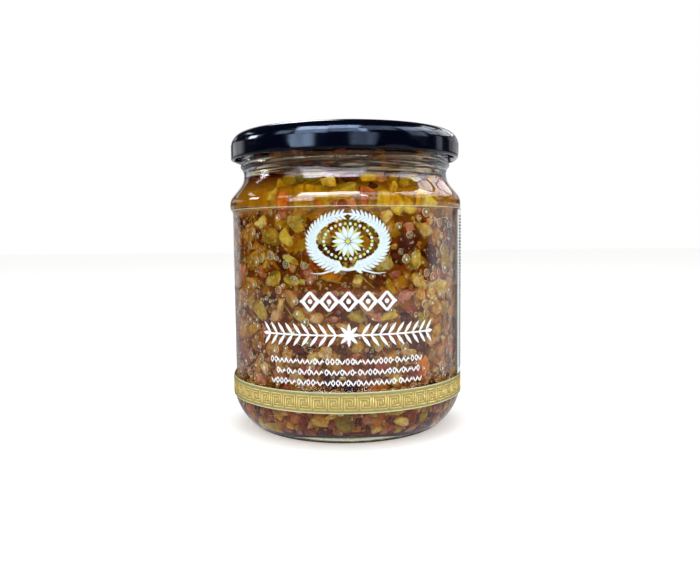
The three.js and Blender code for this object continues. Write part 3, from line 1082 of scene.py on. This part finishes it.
def deepSaladMaterial():
    shader = Shader("deepSalad")
    wander = shader.noise(260.0).outputs["Color"]
    moved = shader.add("MixRGB", {"blend_type": "LINEAR_LIGHT"}, Fac=0.004, Color1=shader.where(),
                       Color2=wander)
    cells = shader.add("TexVoronoi", {"feature": "F1"}, Vector=moved, Scale=230.0)
    grey = shader.add("SeparateColor", Color=cells.outputs["Color"])
    tone = shader.ramp(grey, [(place, linear(colour)) for place, colour in core["colours"]])
    height = shader.axes()["Z"]
    above = shader.softRun(height, *core["shoulderFrom"], 0.0, 0.8)
    colour = shader.add("MixRGB", Fac=above, Color1=tone, Color2=linear(core["shoulderColour"]))
    # painted light: a glow in the salad's own colour, stronger near the foot, stands in for light coming
    # through the pieces
    glow = shader.run(height, *core["footTo"], core["glow"] + core["paintedFootGlow"], core["glow"])
    rough = shader.add("Bump", Strength=0.8, Distance=0.001, Height=cells)
    body = shader.add("BsdfPrincipled", Base_Color=colour, Emission_Color=colour, Roughness=0.6, Normal=rough,
                      Emission_Strength=glow, Specular_IOR_Level=0.0)
    return shader.finish(body, lamp=False)


def makeCore():
    low, high = core["low"], core["high"]
    deeper = core["behindShoulder"] - core["behindGlass"]
    rows = []
    for z in np.linspace(low, high, 90):
        fade = min(1.0, (z - low + 1.0) / 10, (high - z + 0.6) / 4) ** 0.5
        behind = core["behindGlass"] + deeper * float(smooth(z, *core["deeperFrom"]))
        rows.append(((float(innerRadius(z)) - behind) * fade, z))
    profile = [(0, low - 0.3)] + rows + [(0, high + 0.3)]
    ways = chance.normal(size=(9, 3)) * 0.35
    phases = chance.uniform(0, fullTurn, 9)

    def lumpy(r, z, azimuths):
        where = around(np.full_like(azimuths, r), azimuths, z)
        return core["bumps"] * sum(np.sin(where @ way + phase) for way, phase in zip(ways, phases)) / 3

    points, faces = turnedMesh(profile, core["segments"], lumpy)
    piece = meshPiece("deepSalad", points, faces, [deepSaladMaterial()])
    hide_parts("olive_salad")


makeShowpieces()
makePieces()
makeCrumbs()
for kindName, collected in gathered.items():
    collected.make(kindName, vegetableMaterial(kindName + "Flesh"), crease=70)
makeShreds()
makeCore()
print("chopped salad is made")


# bubbles
bubble = {
    "clusters": 230,
    "perCluster": (3, 12),
    "spread": (0.06, 2.4),
    "singles": 520,
    "tiny": 2000,
    "sideways": 0.25,
    "sides": (0.75, 1.5),
    "glints": 0.6,
    "paintedGlintGlow": 0.9,
    "size": (0.42, 2.00),
    "tinySize": (0.20, 0.46),
    "low": 16,
    "high": 77,
    "thickness": 0.42,
    # distance from the middle, height of the front cap and how much painted light the wall has there
    "rows": [(0.0, 1.0, 0.0), (0.5, 0.87, 0.0), (0.74, 0.67, 0.05), (0.84, 0.54, 0.75), (0.94, 0.34, 1.0),
             (1.0, 0.0, 0.9), (0.7, -0.6, 0.0), (0.0, -1.0, 0.0)],
    "tinyRows": [(0.0, 1.0, 0.1), (0.7, 0.7, 0.5), (1.0, 0.0, 1.0), (0.0, -1.0, 0.0)],
    # painted light: a pale rim colour, and how much of it shows, paint the bright edge of each bubble
    "rim": (255, 238, 222),
    "middle": (210, 166, 126),
    "paintedAmount": (0.02, 0.86),
    "glint": (255, 250, 242),
}
# azimuth, height and half sizes; from the middle out the wall goes grey green, dark, then golden, which
# paints how an air pocket looks: the dark ring is painted shade and the golden edge painted light
pocket = {
    "places": [(-23.3, 90.2, 2.5, 3.5), (-17.0, 90.4, 3.2, 3.3)],
    "thickness": 1.6,
    "rows": [(0.0, 1.0, 0.0), (0.55, 0.86, 0.0), (0.76, 0.68, 0.1), (0.83, 0.60, 0.5), (0.88, 0.52, 0.8),
             (0.94, 0.40, 1.0), (1.0, 0.1, 1.0), (0.7, -0.6, 0.0), (0.0, -1.0, 0.0)],
    "colours": [(134, 112, 58), (44, 28, 8), (216, 170, 60)],
}


def lensShape(segments, wobble, rows):
    # a flattened bubble: a ring of points for each row, with how much painted ring each point has
    angles = np.arange(segments) * 2 * math.pi / segments
    outline = 1 + sum(wobble * np.sin(waves * angles + chance.uniform(0, fullTurn)) for waves in (2, 3))
    points, paintedAmount, faces, rings = [], [], [], []
    for reach, height, paintedRing in rows:
        start = len(points)
        count = segments if reach > 0 else 1
        for k in range(count):
            wide = reach * outline[k]
            points.append((wide * math.cos(angles[k]), wide * math.sin(angles[k]), height))
            paintedAmount.append(paintedRing)
        rings.append([start + k % count for k in range(segments)])
    for outer, inner in zip(rings[1:], rings):
        for j in range(segments):
            k = (j + 1) % segments
            for face in ((inner[j], outer[j], outer[k]), (inner[j], outer[k], inner[k])):
                if len(set(face)) == 3:
                    faces.append(face)
    return np.array(points, float), np.array(paintedAmount), np.array(faces)


def bubbleMaterial():
    # painted highlight: a pale diffuse ring at the edge stands in for the bright surroundings that the
    # bubble's edge reflects
    shader = Shader("airBubble")
    paintedRing = shader.add("Attribute", {"attribute_name": "pieceTint"}).outputs["Fac"]
    wall = shader.add("MixRGB", Fac=paintedRing, Color1=linear(bubble["middle"]), Color2=linear(bubble["rim"]))
    clear = shader.add("BsdfTransparent", Color=(1, 1, 1, 1))
    pale = shader.add("BsdfDiffuse", Color=wall)
    paintedAmount = shader.mix(shader.run(paintedRing, 0.0, 1.0, *bubble["paintedAmount"]), clear, pale)
    glint = shader.add("BsdfGlossy", Color=(1, 1, 1, 1), Roughness=0.05)
    return shader.finish(shader.clearInShadow(shader.mix(0.10, paintedAmount, glint)))


def layLens(collected, azimuth, z, halfSizes, segments, wobble, rows):
    shape, paintedAmount, faces = lensShape(segments, wobble, rows)
    points = (shape * halfSizes) @ wallAxes(azimuth) + behindWall(azimuth, z, 0.05 + halfSizes[2])
    collected.take(keepInside(points, 0.04), faces, np.tile(paintedAmount[:, None], (1, 3)))


def makeBubbles():
    low, high = bubble["low"], bubble["high"]
    aside, up = bubble["spread"]
    spots = []
    for _ in range(bubble["clusters"]):
        azimuth, z = chance.uniform(-math.pi, math.pi), chance.uniform(low, high)
        if chance.uniform() < bubble["sideways"]:
            azimuth = chance.choice((-1, 1)) * chance.uniform(*bubble["sides"])
        for _ in range(chance.integers(*bubble["perCluster"])):
            spots.append((azimuth + chance.normal() * aside, z + chance.normal() * up))
    for _ in range(bubble["singles"]):
        spots.append((chance.uniform(-math.pi, math.pi), chance.uniform(low - 4, high + 2)))
    small, large = bubble["size"]
    room, foam, glints = Heap(), Collected(), Collected()
    for azimuth, z in spots:
        reach = small + (large - small) * chance.uniform() ** 2.2
        place = around(innerRadius(z), azimuth, z)
        if room.free(place, reach, 1.02):
            room.put(place, reach)
            half = np.array([reach, reach * chance.uniform(0.9, 1.15), min(reach * 0.6, bubble["thickness"])])
            layLens(foam, azimuth, z, half, 14 if reach > 0.8 else 9, 0.05, bubble["rows"])
            # painted highlights: small white spots that glow stand in for lamps glinting on the bubbles
            if reach > 0.6 and chance.uniform() < bubble["glints"]:
                spot = 0.12 + reach * chance.uniform(0.10, 0.22)
                layLens(glints, azimuth + chance.normal() * 0.004, z - reach * chance.uniform(-0.2, 0.4),
                        np.array([spot, spot * 1.3, 0.03]), 6, 0.0, bubble["tinyRows"])
    for _ in range(bubble["tiny"]):
        azimuth, z = chance.uniform(-math.pi, math.pi), chance.uniform(low - 6, high + 3)
        reach = chance.uniform(*bubble["tinySize"])
        if room.free(around(innerRadius(z), azimuth, z), reach, 1.0):
            layLens(foam, azimuth, z, np.array([reach, reach * 1.1, 0.2]), 6, 0.0, bubble["tinyRows"])
    foam.make("airBubbles", bubbleMaterial())
    # the painted glints glow white, though they are no lamp
    shader = Shader("paintedBubbleGlint")
    paintedGlintGlow = shader.add("Emission", Color=linear(bubble["glint"]), Strength=bubble["paintedGlintGlow"])
    glints.make("paintedBubbleGlints", shader.finish(paintedGlintGlow))


def makePockets():
    # two large air pockets under the surface, drawn opaque and tinted by how far a point is from their
    # middle, with painted shade in a dark ring and painted light at the golden edge
    pockets, colours = Collected(), pocket["colours"]
    for azimuth, z, width, height in pocket["places"]:
        layLens(pockets, math.radians(azimuth), z, np.array([width, height, pocket["thickness"]]), 32, 0.02,
                pocket["rows"])
        out = pockets.tints[-1][:, :1] * (len(colours) - 1)
        tints = out * 0
        for place, (first, second) in enumerate(zip(colours, colours[1:])):
            tints = np.where(out >= place, between(first, second, np.clip(out - place, 0, 1)), tints)
        pockets.tints[-1] = np.hstack([tints, np.ones((len(tints), 1))])
    pockets.make("surfacePockets", vegetableMaterial("pocketWall"))


makeBubbles()
makePockets()
print("bubbles are made")


# wet neck
wet = {
    "low": 92.3,
    "high": 106.6,
    "film": (0.06, 0.08),          # gap to the glass and thickness
    "colours": [(0.35, (84, 50, 22)), (0.7, (240, 218, 184))],
    "clear": (214, 190, 150),
    "paintedSideLight": (255, 246, 226),
    "paintedSideLightFrom": (0.017, 0.028),   # painted light sits at the left and right sides
    "thinFrom": (0.0960, 0.0980, 1.1, 0.25),
    "bits": 90,
    "bitKinds": ("brownCrumb", "paleVegetable", "pinkPepper", "darkOlive", "paleVegetable"),
    "bitHeights": (93.0, 100.6),
    # what sticks to the glass above the oil: kind, azimuth in degrees, height, width, length
    "stuck": [
        ("orangePiece", -2, 99.4, 3.6, 2.2), ("yellowPepper", 21, 98.6, 5.0, 3.4),
        ("paleVegetable", 21.5, 95.4, 3.4, 3.6), ("pinkPepper", 28.5, 96.8, 2.8, 4.2),
        ("brownCrumb", -26, 99.8, 6.0, 2.4), ("darkOlive", 27, 92.9, 3.0, 2.4),
        ("brownCrumb", 44, 97.6, 6.4, 1.8), ("paleVegetable", 52, 98.6, 9.0, 2.2),
        ("paleVegetable", 60, 96.0, 8.0, 2.0), ("paleVegetable", 47, 94.6, 7.0, 1.4),
        ("paleVegetable", -56, 97.4, 8.0, 2.0), ("paleVegetable", -64, 94.8, 9.0, 1.8),
        ("brownCrumb", -46, 95.4, 6.0, 1.6),
    ],
}


def wetOilMaterial():
    shader = Shader("wetOil")
    streaks = shader.streaks((60.0, 60.0, 700.0), 4.0, 0.8)
    front = shader.ramp(streaks, [(place, linear(colour)) for place, colour in wet["colours"]])
    x, _, z = shader.axes()
    # painted light: the film turns pale and thicker towards the left and right of the neck, where the glass
    # edges catch light
    paintedSideLight = shader.softRun(shader.reckon("ABSOLUTE", x), *wet["paintedSideLightFrom"], 0.0, 0.95)
    tone = shader.add("MixRGB", Fac=paintedSideLight, Color1=front, Color2=linear(wet["paintedSideLight"]))
    paintedAmount = shader.times(shader.run(paintedSideLight, 0.0, 0.9, 1.0, 1.6), shader.run(z, *wet["thinFrom"]))
    thick = shader.times(shader.run(streaks, 0.46, 0.62, 0.0, 0.62), paintedAmount)
    both = shader.mix(0.5, shader.add("BsdfTranslucent", Color=tone), shader.add("BsdfDiffuse", Color=tone))
    return shader.finish(shader.mix(thick, shader.add("BsdfTransparent", Color=linear(wet["clear"])), both))


def makeWetNeck():
    gap, thickness = wet["film"]
    rows = [(float(innerRadius(z)) - gap, z) for z in np.linspace(wet["low"], wet["high"], 12)]
    points, faces = turnedMesh(rows + [(r - thickness, z) for r, z in rows[::-1]], 128)
    piece = meshPiece("wetNeck", points, faces, [wetOilMaterial()])

    bits, stuck, kindsOfBit = Collected(), list(wet["stuck"]), wet["bitKinds"]
    for _ in range(wet["bits"]):
        stuck.append((kindsOfBit[chance.integers(len(kindsOfBit))], chance.uniform(-180, 180),
                      chance.uniform(*wet["bitHeights"]), chance.uniform(1.2, 6.0), chance.uniform(0.5, 1.6)))
    ball, faces = balls[3]
    for name, azimuth, z, width, length in stuck:
        a, half = math.radians(azimuth), np.array([width, length, 1.0]) / 2
        shape = chopped(ball, 2, 0.16)
        centre = around(glass["neckRadius"] - glass["neckWall"] - 0.3 - half[2], a, z)
        bits.take((shape * half) @ wallAxes(a) + centre, faces, tintsOf(kinds[name], shape))
    bits.make("stuckBits", vegetableMaterial("stuckFlesh"), crease=48)


makeWetNeck()
print("wet neck is made")


# label
label = {
    "bottom": float(labelLow[2]),
    "top": float(labelHigh[2]),
    "lift": 0.03,
    "film": 0.08,
    "bridge": 3.6,                # how far the film spans above the heel ring before it meets the wall
    "looseFrom": (0.90, 1.16),    # radians between which the film lifts off the glass and settles again
    "looseTo": (2.60, 3.00),
    "seamAt": 180.0,
    "seamWidth": 4.0,
    "turned": 1.2,                # the print is turned this many degrees from the front
    "bandTop": 19.9,
    "goldLow": 13.75,
    "goldHigh": 18.7,
    "units": 53,
    "goldLine": 0.48,
    "lowRows": (13.2, 13.75, 14.5, 16.5),
    "highRows": (40, 60, 78, 80.4),
    "footLine": (12.95, 13.15),
    "headLine": 0.35,
    "topLine": 0.22,
    # the film shines less on the step above the heel ring
    "shineOnStep": (0.0215, 0.0235, 0.2, 1.0),
}
inks = {
    "olive": ((162, 158, 104), 0.40, 0.25),
    "paleEdge": ((196, 198, 160), 0.40, 0.0),
    "gold": ((236, 206, 122), 0.38, 0.40),
    "white": ((240, 243, 248), 0.45, 0.0),
    "paleSky": ((208, 224, 232), 0.45, 0.0),
    "sprigGreen": ((190, 200, 104), 0.45, 0.0),
    "panelWhite": ((226, 230, 232), 0.45, 0.0),
    "panelDark": ((58, 66, 60), 0.45, 0.0),
}
# the ink of each printed piece, and how far its inside and outside stand off the film
layers = {
    "oliveBand": ("olive", 0.01, 0.025),
    "bandFoot": ("paleEdge", 0.03, 0.04),
    "bandHead": ("paleEdge", 0.03, 0.04),
    # painted highlight: a thin pale line along the top edge of the film stands in for light caught by that
    # edge
    "paintedFilmEdge": ("paleEdge", 0.01, 0.03),
    "goldMeander": ("gold", 0.035, 0.05),
    "wreathPrint": ("paleSky", 0.03, 0.045),
    "whitePrint": ("white", 0.03, 0.045),
    "greenPrint": ("sprigGreen", 0.015, 0.025),
    "factsPanel": ("panelWhite", 0.01, 0.02),
    "tablePanel": ("panelWhite", 0.01, 0.02),
    "panelRows": ("panelDark", 0.03, 0.04),
}


def standing(name):
    # the ink of a printed piece, and how far its inside and outside stand off the glass
    ink, under, over = layers[name]
    film = label["lift"] + label["film"]
    return ink, film + under, film + over


def sleeveRadius(z, azimuth=0.0):
    # the film follows the glass, but spans the step above the heel ring in a soft curve, and stands off
    # level with the rings where the pale panel begins
    g = glass
    z = np.asarray(z, float)
    azimuth = np.asarray(azimuth, float)
    span = 1 - smooth(z, g["heelRingTop"], g["heelRingTop"] + label["bridge"])
    loose = smooth(azimuth, *label["looseFrom"]) * (1 - smooth(azimuth, *label["looseTo"]))
    off = (g["ringRadius"] - g["panelRadius"]) * np.maximum(span, loose)
    return np.maximum(outerRadius(z), g["panelRadius"] + off)


def filmMaterial():
    shader = Shader("clearFilm")
    bump = shader.add("Bump", Strength=0.08, Distance=0.0004, Height=shader.noise(90.0))
    clear = shader.add("BsdfTransparent", Color=linear((252, 252, 252)))
    shine = shader.add("BsdfGlossy", Color=(1, 1, 1, 1), Roughness=0.08, Normal=bump)
    steep = shader.reckon("POWER", shader.add("LayerWeight", Blend=0.5).outputs["Facing"], 5.0)
    aboveStep = shader.run(shader.axes()["Z"], *label["shineOnStep"])
    amount = shader.times(shader.run(steep, 0.0, 1.0, 0.015, 0.35), aboveStep)
    return shader.finish(shader.mix(amount, clear, shine))


def inkMaterial(name):
    colour, roughness, metallic = inks[name]
    shader = Shader(name + "Ink")
    tone = shader.mottled(700.0, 3.0, [c * 0.94 for c in colour], colour)
    return shader.finish(shader.add("BsdfPrincipled", Base_Color=tone, Roughness=roughness, Metallic=metallic,
                                    Specular_IOR_Level=0.3))


def sleeve(name, heights, near, far, fromAzimuth, toAzimuth, material):
    # a thin curved wall that follows the glass between two azimuths in degrees
    steps = max(8, int(abs(toAzimuth - fromAzimuth) / 1.5))
    azimuths = np.radians(np.linspace(fromAzimuth, toAzimuth, steps + 1))
    columns, rows = len(azimuths), len(heights)
    points = []
    for lift in (far, near):
        for z in heights:
            points.extend(around(sleeveRadius(z, azimuths) + lift, azimuths, z).tolist())
    faces = []

    def at(layer, row, column):
        return (layer * rows + row) * columns + column

    for c in range(columns - 1):
        for r in range(rows - 1):
            faces.append([at(0, r, c), at(0, r, c + 1), at(0, r + 1, c + 1), at(0, r + 1, c)])
            faces.append([at(1, r, c), at(1, r + 1, c), at(1, r + 1, c + 1), at(1, r, c + 1)])
        faces.append([at(0, 0, c), at(1, 0, c), at(1, 0, c + 1), at(0, 0, c + 1)])
        faces.append([at(0, rows - 1, c), at(0, rows - 1, c + 1), at(1, rows - 1, c + 1), at(1, rows - 1, c)])
    for c in (0, columns - 1):
        for r in range(rows - 1):
            face = [at(0, r, c), at(0, r + 1, c), at(1, r + 1, c), at(1, r, c)]
            faces.append(face if c == 0 else face[::-1])
    piece = meshPiece(name, points, faces, [material], crease=60)
    return piece


def band(name, heights, edges):
    ink, near, far = standing(name)
    sleeve(name, heights, near, far, *edges, inkMaterial(ink))


class Print:
    # flat printed shapes, each a ribbon of changing width along a line, in mm across and up the label
    def __init__(self, name):
        self.name, self.points, self.faces = name, [], []
        self.ink, self.near, self.far = standing(name)

    def ribbon(self, line, halfWidths):
        line = np.asarray(line, float)
        halfWidths = np.broadcast_to(np.asarray(halfWidths, float), (len(line),))
        ahead = np.gradient(line, axis=0)
        ahead /= np.maximum(np.linalg.norm(ahead, axis=1), tiny)[:, None]
        side = np.stack([-ahead[:, 1], ahead[:, 0]], axis=1) * halfWidths[:, None]
        start, rows = len(self.points), len(line)
        for lift in (self.far, self.near):
            for edge in (line + side, line - side):
                azimuths = edge[:, 0] / glass["panelRadius"] + math.radians(label["turned"])
                radius = sleeveRadius(edge[:, 1], azimuths) + lift
                self.points.extend(around(radius, azimuths, edge[:, 1]).tolist())
        a, b, c, d = (start + k * rows for k in range(4))
        self.faces.append([a, c, d, b])
        for _ in range(rows - 1):
            for p, q in ((b, a), (c, d), (a, c), (d, b)):
                self.faces.append([p, p + 1, q + 1, q])
            a, b, c, d = a + 1, b + 1, c + 1, d + 1
        self.faces.append([a, b, d, c])

    def path(self, bends, halfWidth):
        # a line of one width with square corners, as straight ribbons that meet
        for (x0, y0), (x1, y1) in zip(bends, bends[1:]):
            length = math.hypot(x1 - x0, y1 - y0)
            ex, ey = (x1 - x0) / length * halfWidth, (y1 - y0) / length * halfWidth
            count = max(1, math.ceil(length / 1.5))
            self.ribbon(np.linspace((x0 - ex, y0 - ey), (x1 + ex, y1 + ey), count + 1), halfWidth)

    def disc(self, x, y, radius):
        t = np.linspace(-1, 1, 9)
        line = np.stack([x + t * radius, np.full(9, y)], axis=1)
        self.ribbon(line, radius * np.sqrt(np.clip(1 - t * t, 0.02, 1)))

    def leaf(self, x, y, lean, length, width):
        t = np.linspace(0, 1, 8)
        line = np.array([x, y]) + t[:, None] * np.array([math.cos(lean), math.sin(lean)]) * length
        self.ribbon(line, width / 2 * np.sin(np.clip(t, 0.04, 0.96) * math.pi) ** 0.8)

    def petals(self, y, inside, count, first, length, width):
        # leaves that point outwards all round a place in the middle of the front
        for k in range(count):
            lean = first + 2 * math.pi * k / count
            self.leaf(inside * math.cos(lean), y + inside * math.sin(lean), lean, length, width)

    def lozenge(self, x, y, wide, tall, halfWidths):
        for hand in (-1, 1):
            for rise in (-1, 1):
                self.ribbon([(x + hand * wide, y), (x, y + rise * tall)], halfWidths)

    def make(self):
        piece = meshPiece(self.name, self.points, self.faces, [inkMaterial(self.ink)])
        return piece


def printMeander(gold):
    # the running square spiral: in to the middle of each square and out again
    turns = [(0, 0), (0, 5), (5, 5), (5, 1), (2, 1), (2, 3), (3, 3), (3, 2), (4, 2), (4, 4), (1, 4), (1, 0),
             (6, 0)]
    pitch = 2 * math.pi * glass["panelRadius"] / label["units"]
    column, row = pitch / 6, (label["goldHigh"] - label["goldLow"] - label["goldLine"]) / 5
    low = label["goldLow"] + label["goldLine"] / 2
    for unit in range(label["units"]):
        left = (unit - label["units"] / 2) * pitch
        gold.path([(left + c * column, low + r * row) for c, r in turns], label["goldLine"] / 2)


wreath = {
    "height": 69.4,
    "halfWidth": 12.0,
    "halfHeight": 8.6,
    "gap": 0.22,
    "steps": 25,
    "leaf": (3.2, 1.1),
    "leafLean": 0.75,
    "taper": 0.25,
    "berry": (1.7, 0.45),
    "stem": (0.42, 0.16),
    "ribbon": (0.5, 0.08),
    "petals": (10, 4.2, 1.6),
    "dots": 30,
    "dotRing": (7.9, 5.7),
}


def printWreath(white, green):
    # two leafy branches that meet at the foot round a flower of plain petals
    middle, tall = wreath["height"], wreath["halfHeight"]
    long, wide = wreath["leaf"]
    away, berry = wreath["berry"]
    for hand in (-1, 1):
        turns = np.linspace(-math.pi / 2 + 0.05, math.pi / 2 - wreath["gap"], wreath["steps"])
        stem = np.stack([hand * wreath["halfWidth"] * np.cos(turns), middle + tall * np.sin(turns)], axis=1)
        green.ribbon(stem, np.linspace(*wreath["stem"], len(stem)))
        for i, ((x, y), (dx, dy)) in enumerate(zip(stem[1:], np.gradient(stem, axis=0)[1:])):
            way, size = math.atan2(dy, dx), 1.0 - wreath["taper"] * i / len(stem)
            for side in (-1, 1):
                white.leaf(x, y, way + side * wreath["leafLean"], long * size, wide * size)
                if i % 3 == 1:
                    out, turn = side * away, way + quarterTurn
                    green.disc(x + out * math.cos(turn), y + out * math.sin(turn), berry)
            white.leaf(x, y, way, long * 0.9, wide * 0.8)
        line = np.linspace((0, middle - tall - 0.6), (hand * 12.5, middle - tall - 1.6), 12)
        line[:, 1] += 0.5 * np.sin(np.linspace(0, 2 * math.pi, 12))
        white.ribbon(line, np.linspace(*wreath["ribbon"], 12))
    count, long, wide = wreath["petals"]
    white.petals(middle, 0.9, count, 0, long, wide)
    green.petals(middle, 1.6, count, math.pi / count, long * 0.9, wide / 2)
    green.disc(0, middle, 0.8)
    for k in range(wreath["dots"]):
        turn = 2 * math.pi * k / wreath["dots"]
        across, up = wreath["dotRing"]
        (white if k % 2 else green).disc(across * math.cos(turn), middle + up * math.sin(turn), 0.5)


ornament = {
    "lozenges": (49.8, 5, 6.4),                # height, number and pitch
    "lozenge": (2.7, 3.1, (0.62, 0.42)),       # half width, half height and half line widths
    "dots": (0.8, 0.45),                       # in the lozenges and between them
    "garland": (38.7, 60.0, 7.6),              # height, width and how tall it is
    "stalk": (2.6, 0.28),                      # where it starts and its half width
    "sprigs": (9, 4.2, 3.0),                   # number, first place and pitch
    "leaf": (0.75, 0.62, 1.1),                 # slant, share of the height and width
    "bud": (0.2, 0.5),
    "tip": (1.5, 3.0, 1.3),
    "flower": (8, 0.5, 1.2),
    "fineRows": ((30.0, 57.0), (26.4, 52.0), (22.9, 56.0)),
    "fineHeight": 2.1,
    "fineLozenge": 0.45,        # the share of lozenges in a fine row, and of dots
    "fineDot": 0.2,
}


def printOrnament(white):
    middle, count, pitch = ornament["lozenges"]
    for k in range(count):
        x = (k - (count - 1) / 2) * pitch
        white.lozenge(x, middle, *ornament["lozenge"])
        white.disc(x, middle, ornament["dots"][0])
    for k in range(count + 1):
        white.disc((k - count / 2) * pitch, middle, ornament["dots"][1])

    middle, wide, tall = ornament["garland"]
    start, thick = ornament["stalk"]
    sprigs, first, pitch = ornament["sprigs"]
    slant, share, width = ornament["leaf"]
    beside, bud = ornament["bud"]
    back, *tip = ornament["tip"]
    for hand in (-1, 1):
        white.ribbon(np.linspace((hand * start, middle), (hand * wide / 2, middle), 24), thick)
        for k in range(sprigs):
            x = hand * (first + k * pitch)
            for rise in (-1, 1):
                white.leaf(x, middle, math.atan2(rise, hand * slant), tall * share, width)
            white.disc(x + hand * beside, middle, bud)
        white.leaf(hand * (wide / 2 - back), middle, 0 if hand > 0 else math.pi, *tip)
    petals, share, width = ornament["flower"]
    white.petals(middle, 0, petals, 0, tall * share, width)

    # fine rows of small lozenges, leaf pairs and dots
    half = ornament["fineHeight"] / 2
    for z, wide in ornament["fineRows"]:
        x = -wide / 2
        while x < wide / 2 - 2:
            if chance.uniform() < ornament["fineLozenge"]:
                white.lozenge(x + 0.75, z, 0.62, half, (0.2, 0.17))
                x += 1.65
            else:
                for lean in (1.05, 2.09):
                    white.leaf(x + 0.7, z - half, lean, 2 * half, 0.5)
                x += 1.75
            if chance.uniform() < ornament["fineDot"]:
                white.disc(x + 0.1, z, 0.3)
                x += 0.8


panel = {
    "facts": (68.2, 148.0),       # azimuths of the two edges, in degrees
    "table": (212.0, 262.0),
    "low": 20.4,
    "high": 80.2,
    "rowPitch": 1.15,
    "ruled": 17,
    "thick": (0, 12, 16),
}


def printPanels(dark):
    # two pale fields of small rows at the back: one of dashes like fine print, one a ruled table
    (left, right), (tableLeft, tableRight) = (
        [math.radians(azimuth - label["turned"]) * glass["panelRadius"] for azimuth in panel[name]]
        for name in ("facts", "table"))
    z = panel["high"] - 2.2
    while z > panel["low"] + 2:
        x = left + 2.0
        while x < right - 4:
            length = chance.uniform(0.8, 3.2)
            dark.ribbon([(x, z), (x + length / 2, z), (x + length, z)], chance.uniform(0.24, 0.36))
            x += length + chance.uniform(0.4, 0.9)
        z -= panel["rowPitch"]
    for i, z in enumerate(np.linspace(panel["low"] + 3, panel["high"] - 3, panel["ruled"])):
        line = np.linspace((tableLeft + 2, z), (tableRight - 2, z), 24)
        dark.ribbon(line, 0.55 if i in panel["thick"] else 0.13)
        if i < panel["ruled"] - 1:
            start, end, up = tableLeft + 3, tableRight - 3, z + 1.6
            dark.ribbon([(start, up), (start + chance.uniform(6, 15), up)], 0.45)
            dark.ribbon([(end - chance.uniform(1.5, 4), up), (end, up)], 0.45)


def makeLabel():
    half = label["seamWidth"] / 2
    ends = label["seamAt"] - 360 + half, label["seamAt"] - half
    bottom, top, bandTop, lift = label["bottom"], label["top"], label["bandTop"], label["lift"]
    stepRows = list(np.linspace(glass["heelRingTop"], glass["heelRingTop"] + label["bridge"], 9))
    low = [bottom, *label["lowRows"]]
    heights = low + stepRows + [*label["highRows"], top]
    film = sleeve("labelFilm", heights, lift, lift + label["film"], *ends, filmMaterial())
    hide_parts("label")
    mirrors.objects.link(film)
    band("oliveBand", low + stepRows[:3] + [bandTop], ends)
    band("bandFoot", [bottom, *label["footLine"]], ends)
    band("bandHead", [bandTop - label["headLine"], bandTop], ends)
    # painted highlight along the top edge of the film
    band("paintedFilmEdge", [top - label["topLine"], top], ends)

    gold, pale, white, green = map(Print, ("goldMeander", "wreathPrint", "whitePrint", "greenPrint"))
    printMeander(gold)
    goldPieces.objects.link(gold.make())
    printWreath(pale, green)
    pale.make()
    printOrnament(white)
    white.make().visible_glossy = False    # or the step of the glass mirrors it
    green.make()

    rows = np.linspace(panel["low"], panel["high"], 6)
    band("factsPanel", rows, panel["facts"])
    band("tablePanel", rows, [azimuth - 360 for azimuth in panel["table"]])
    dark = Print("panelRows")
    printPanels(dark)
    dark.make()


makeLabel()
print("label is made")
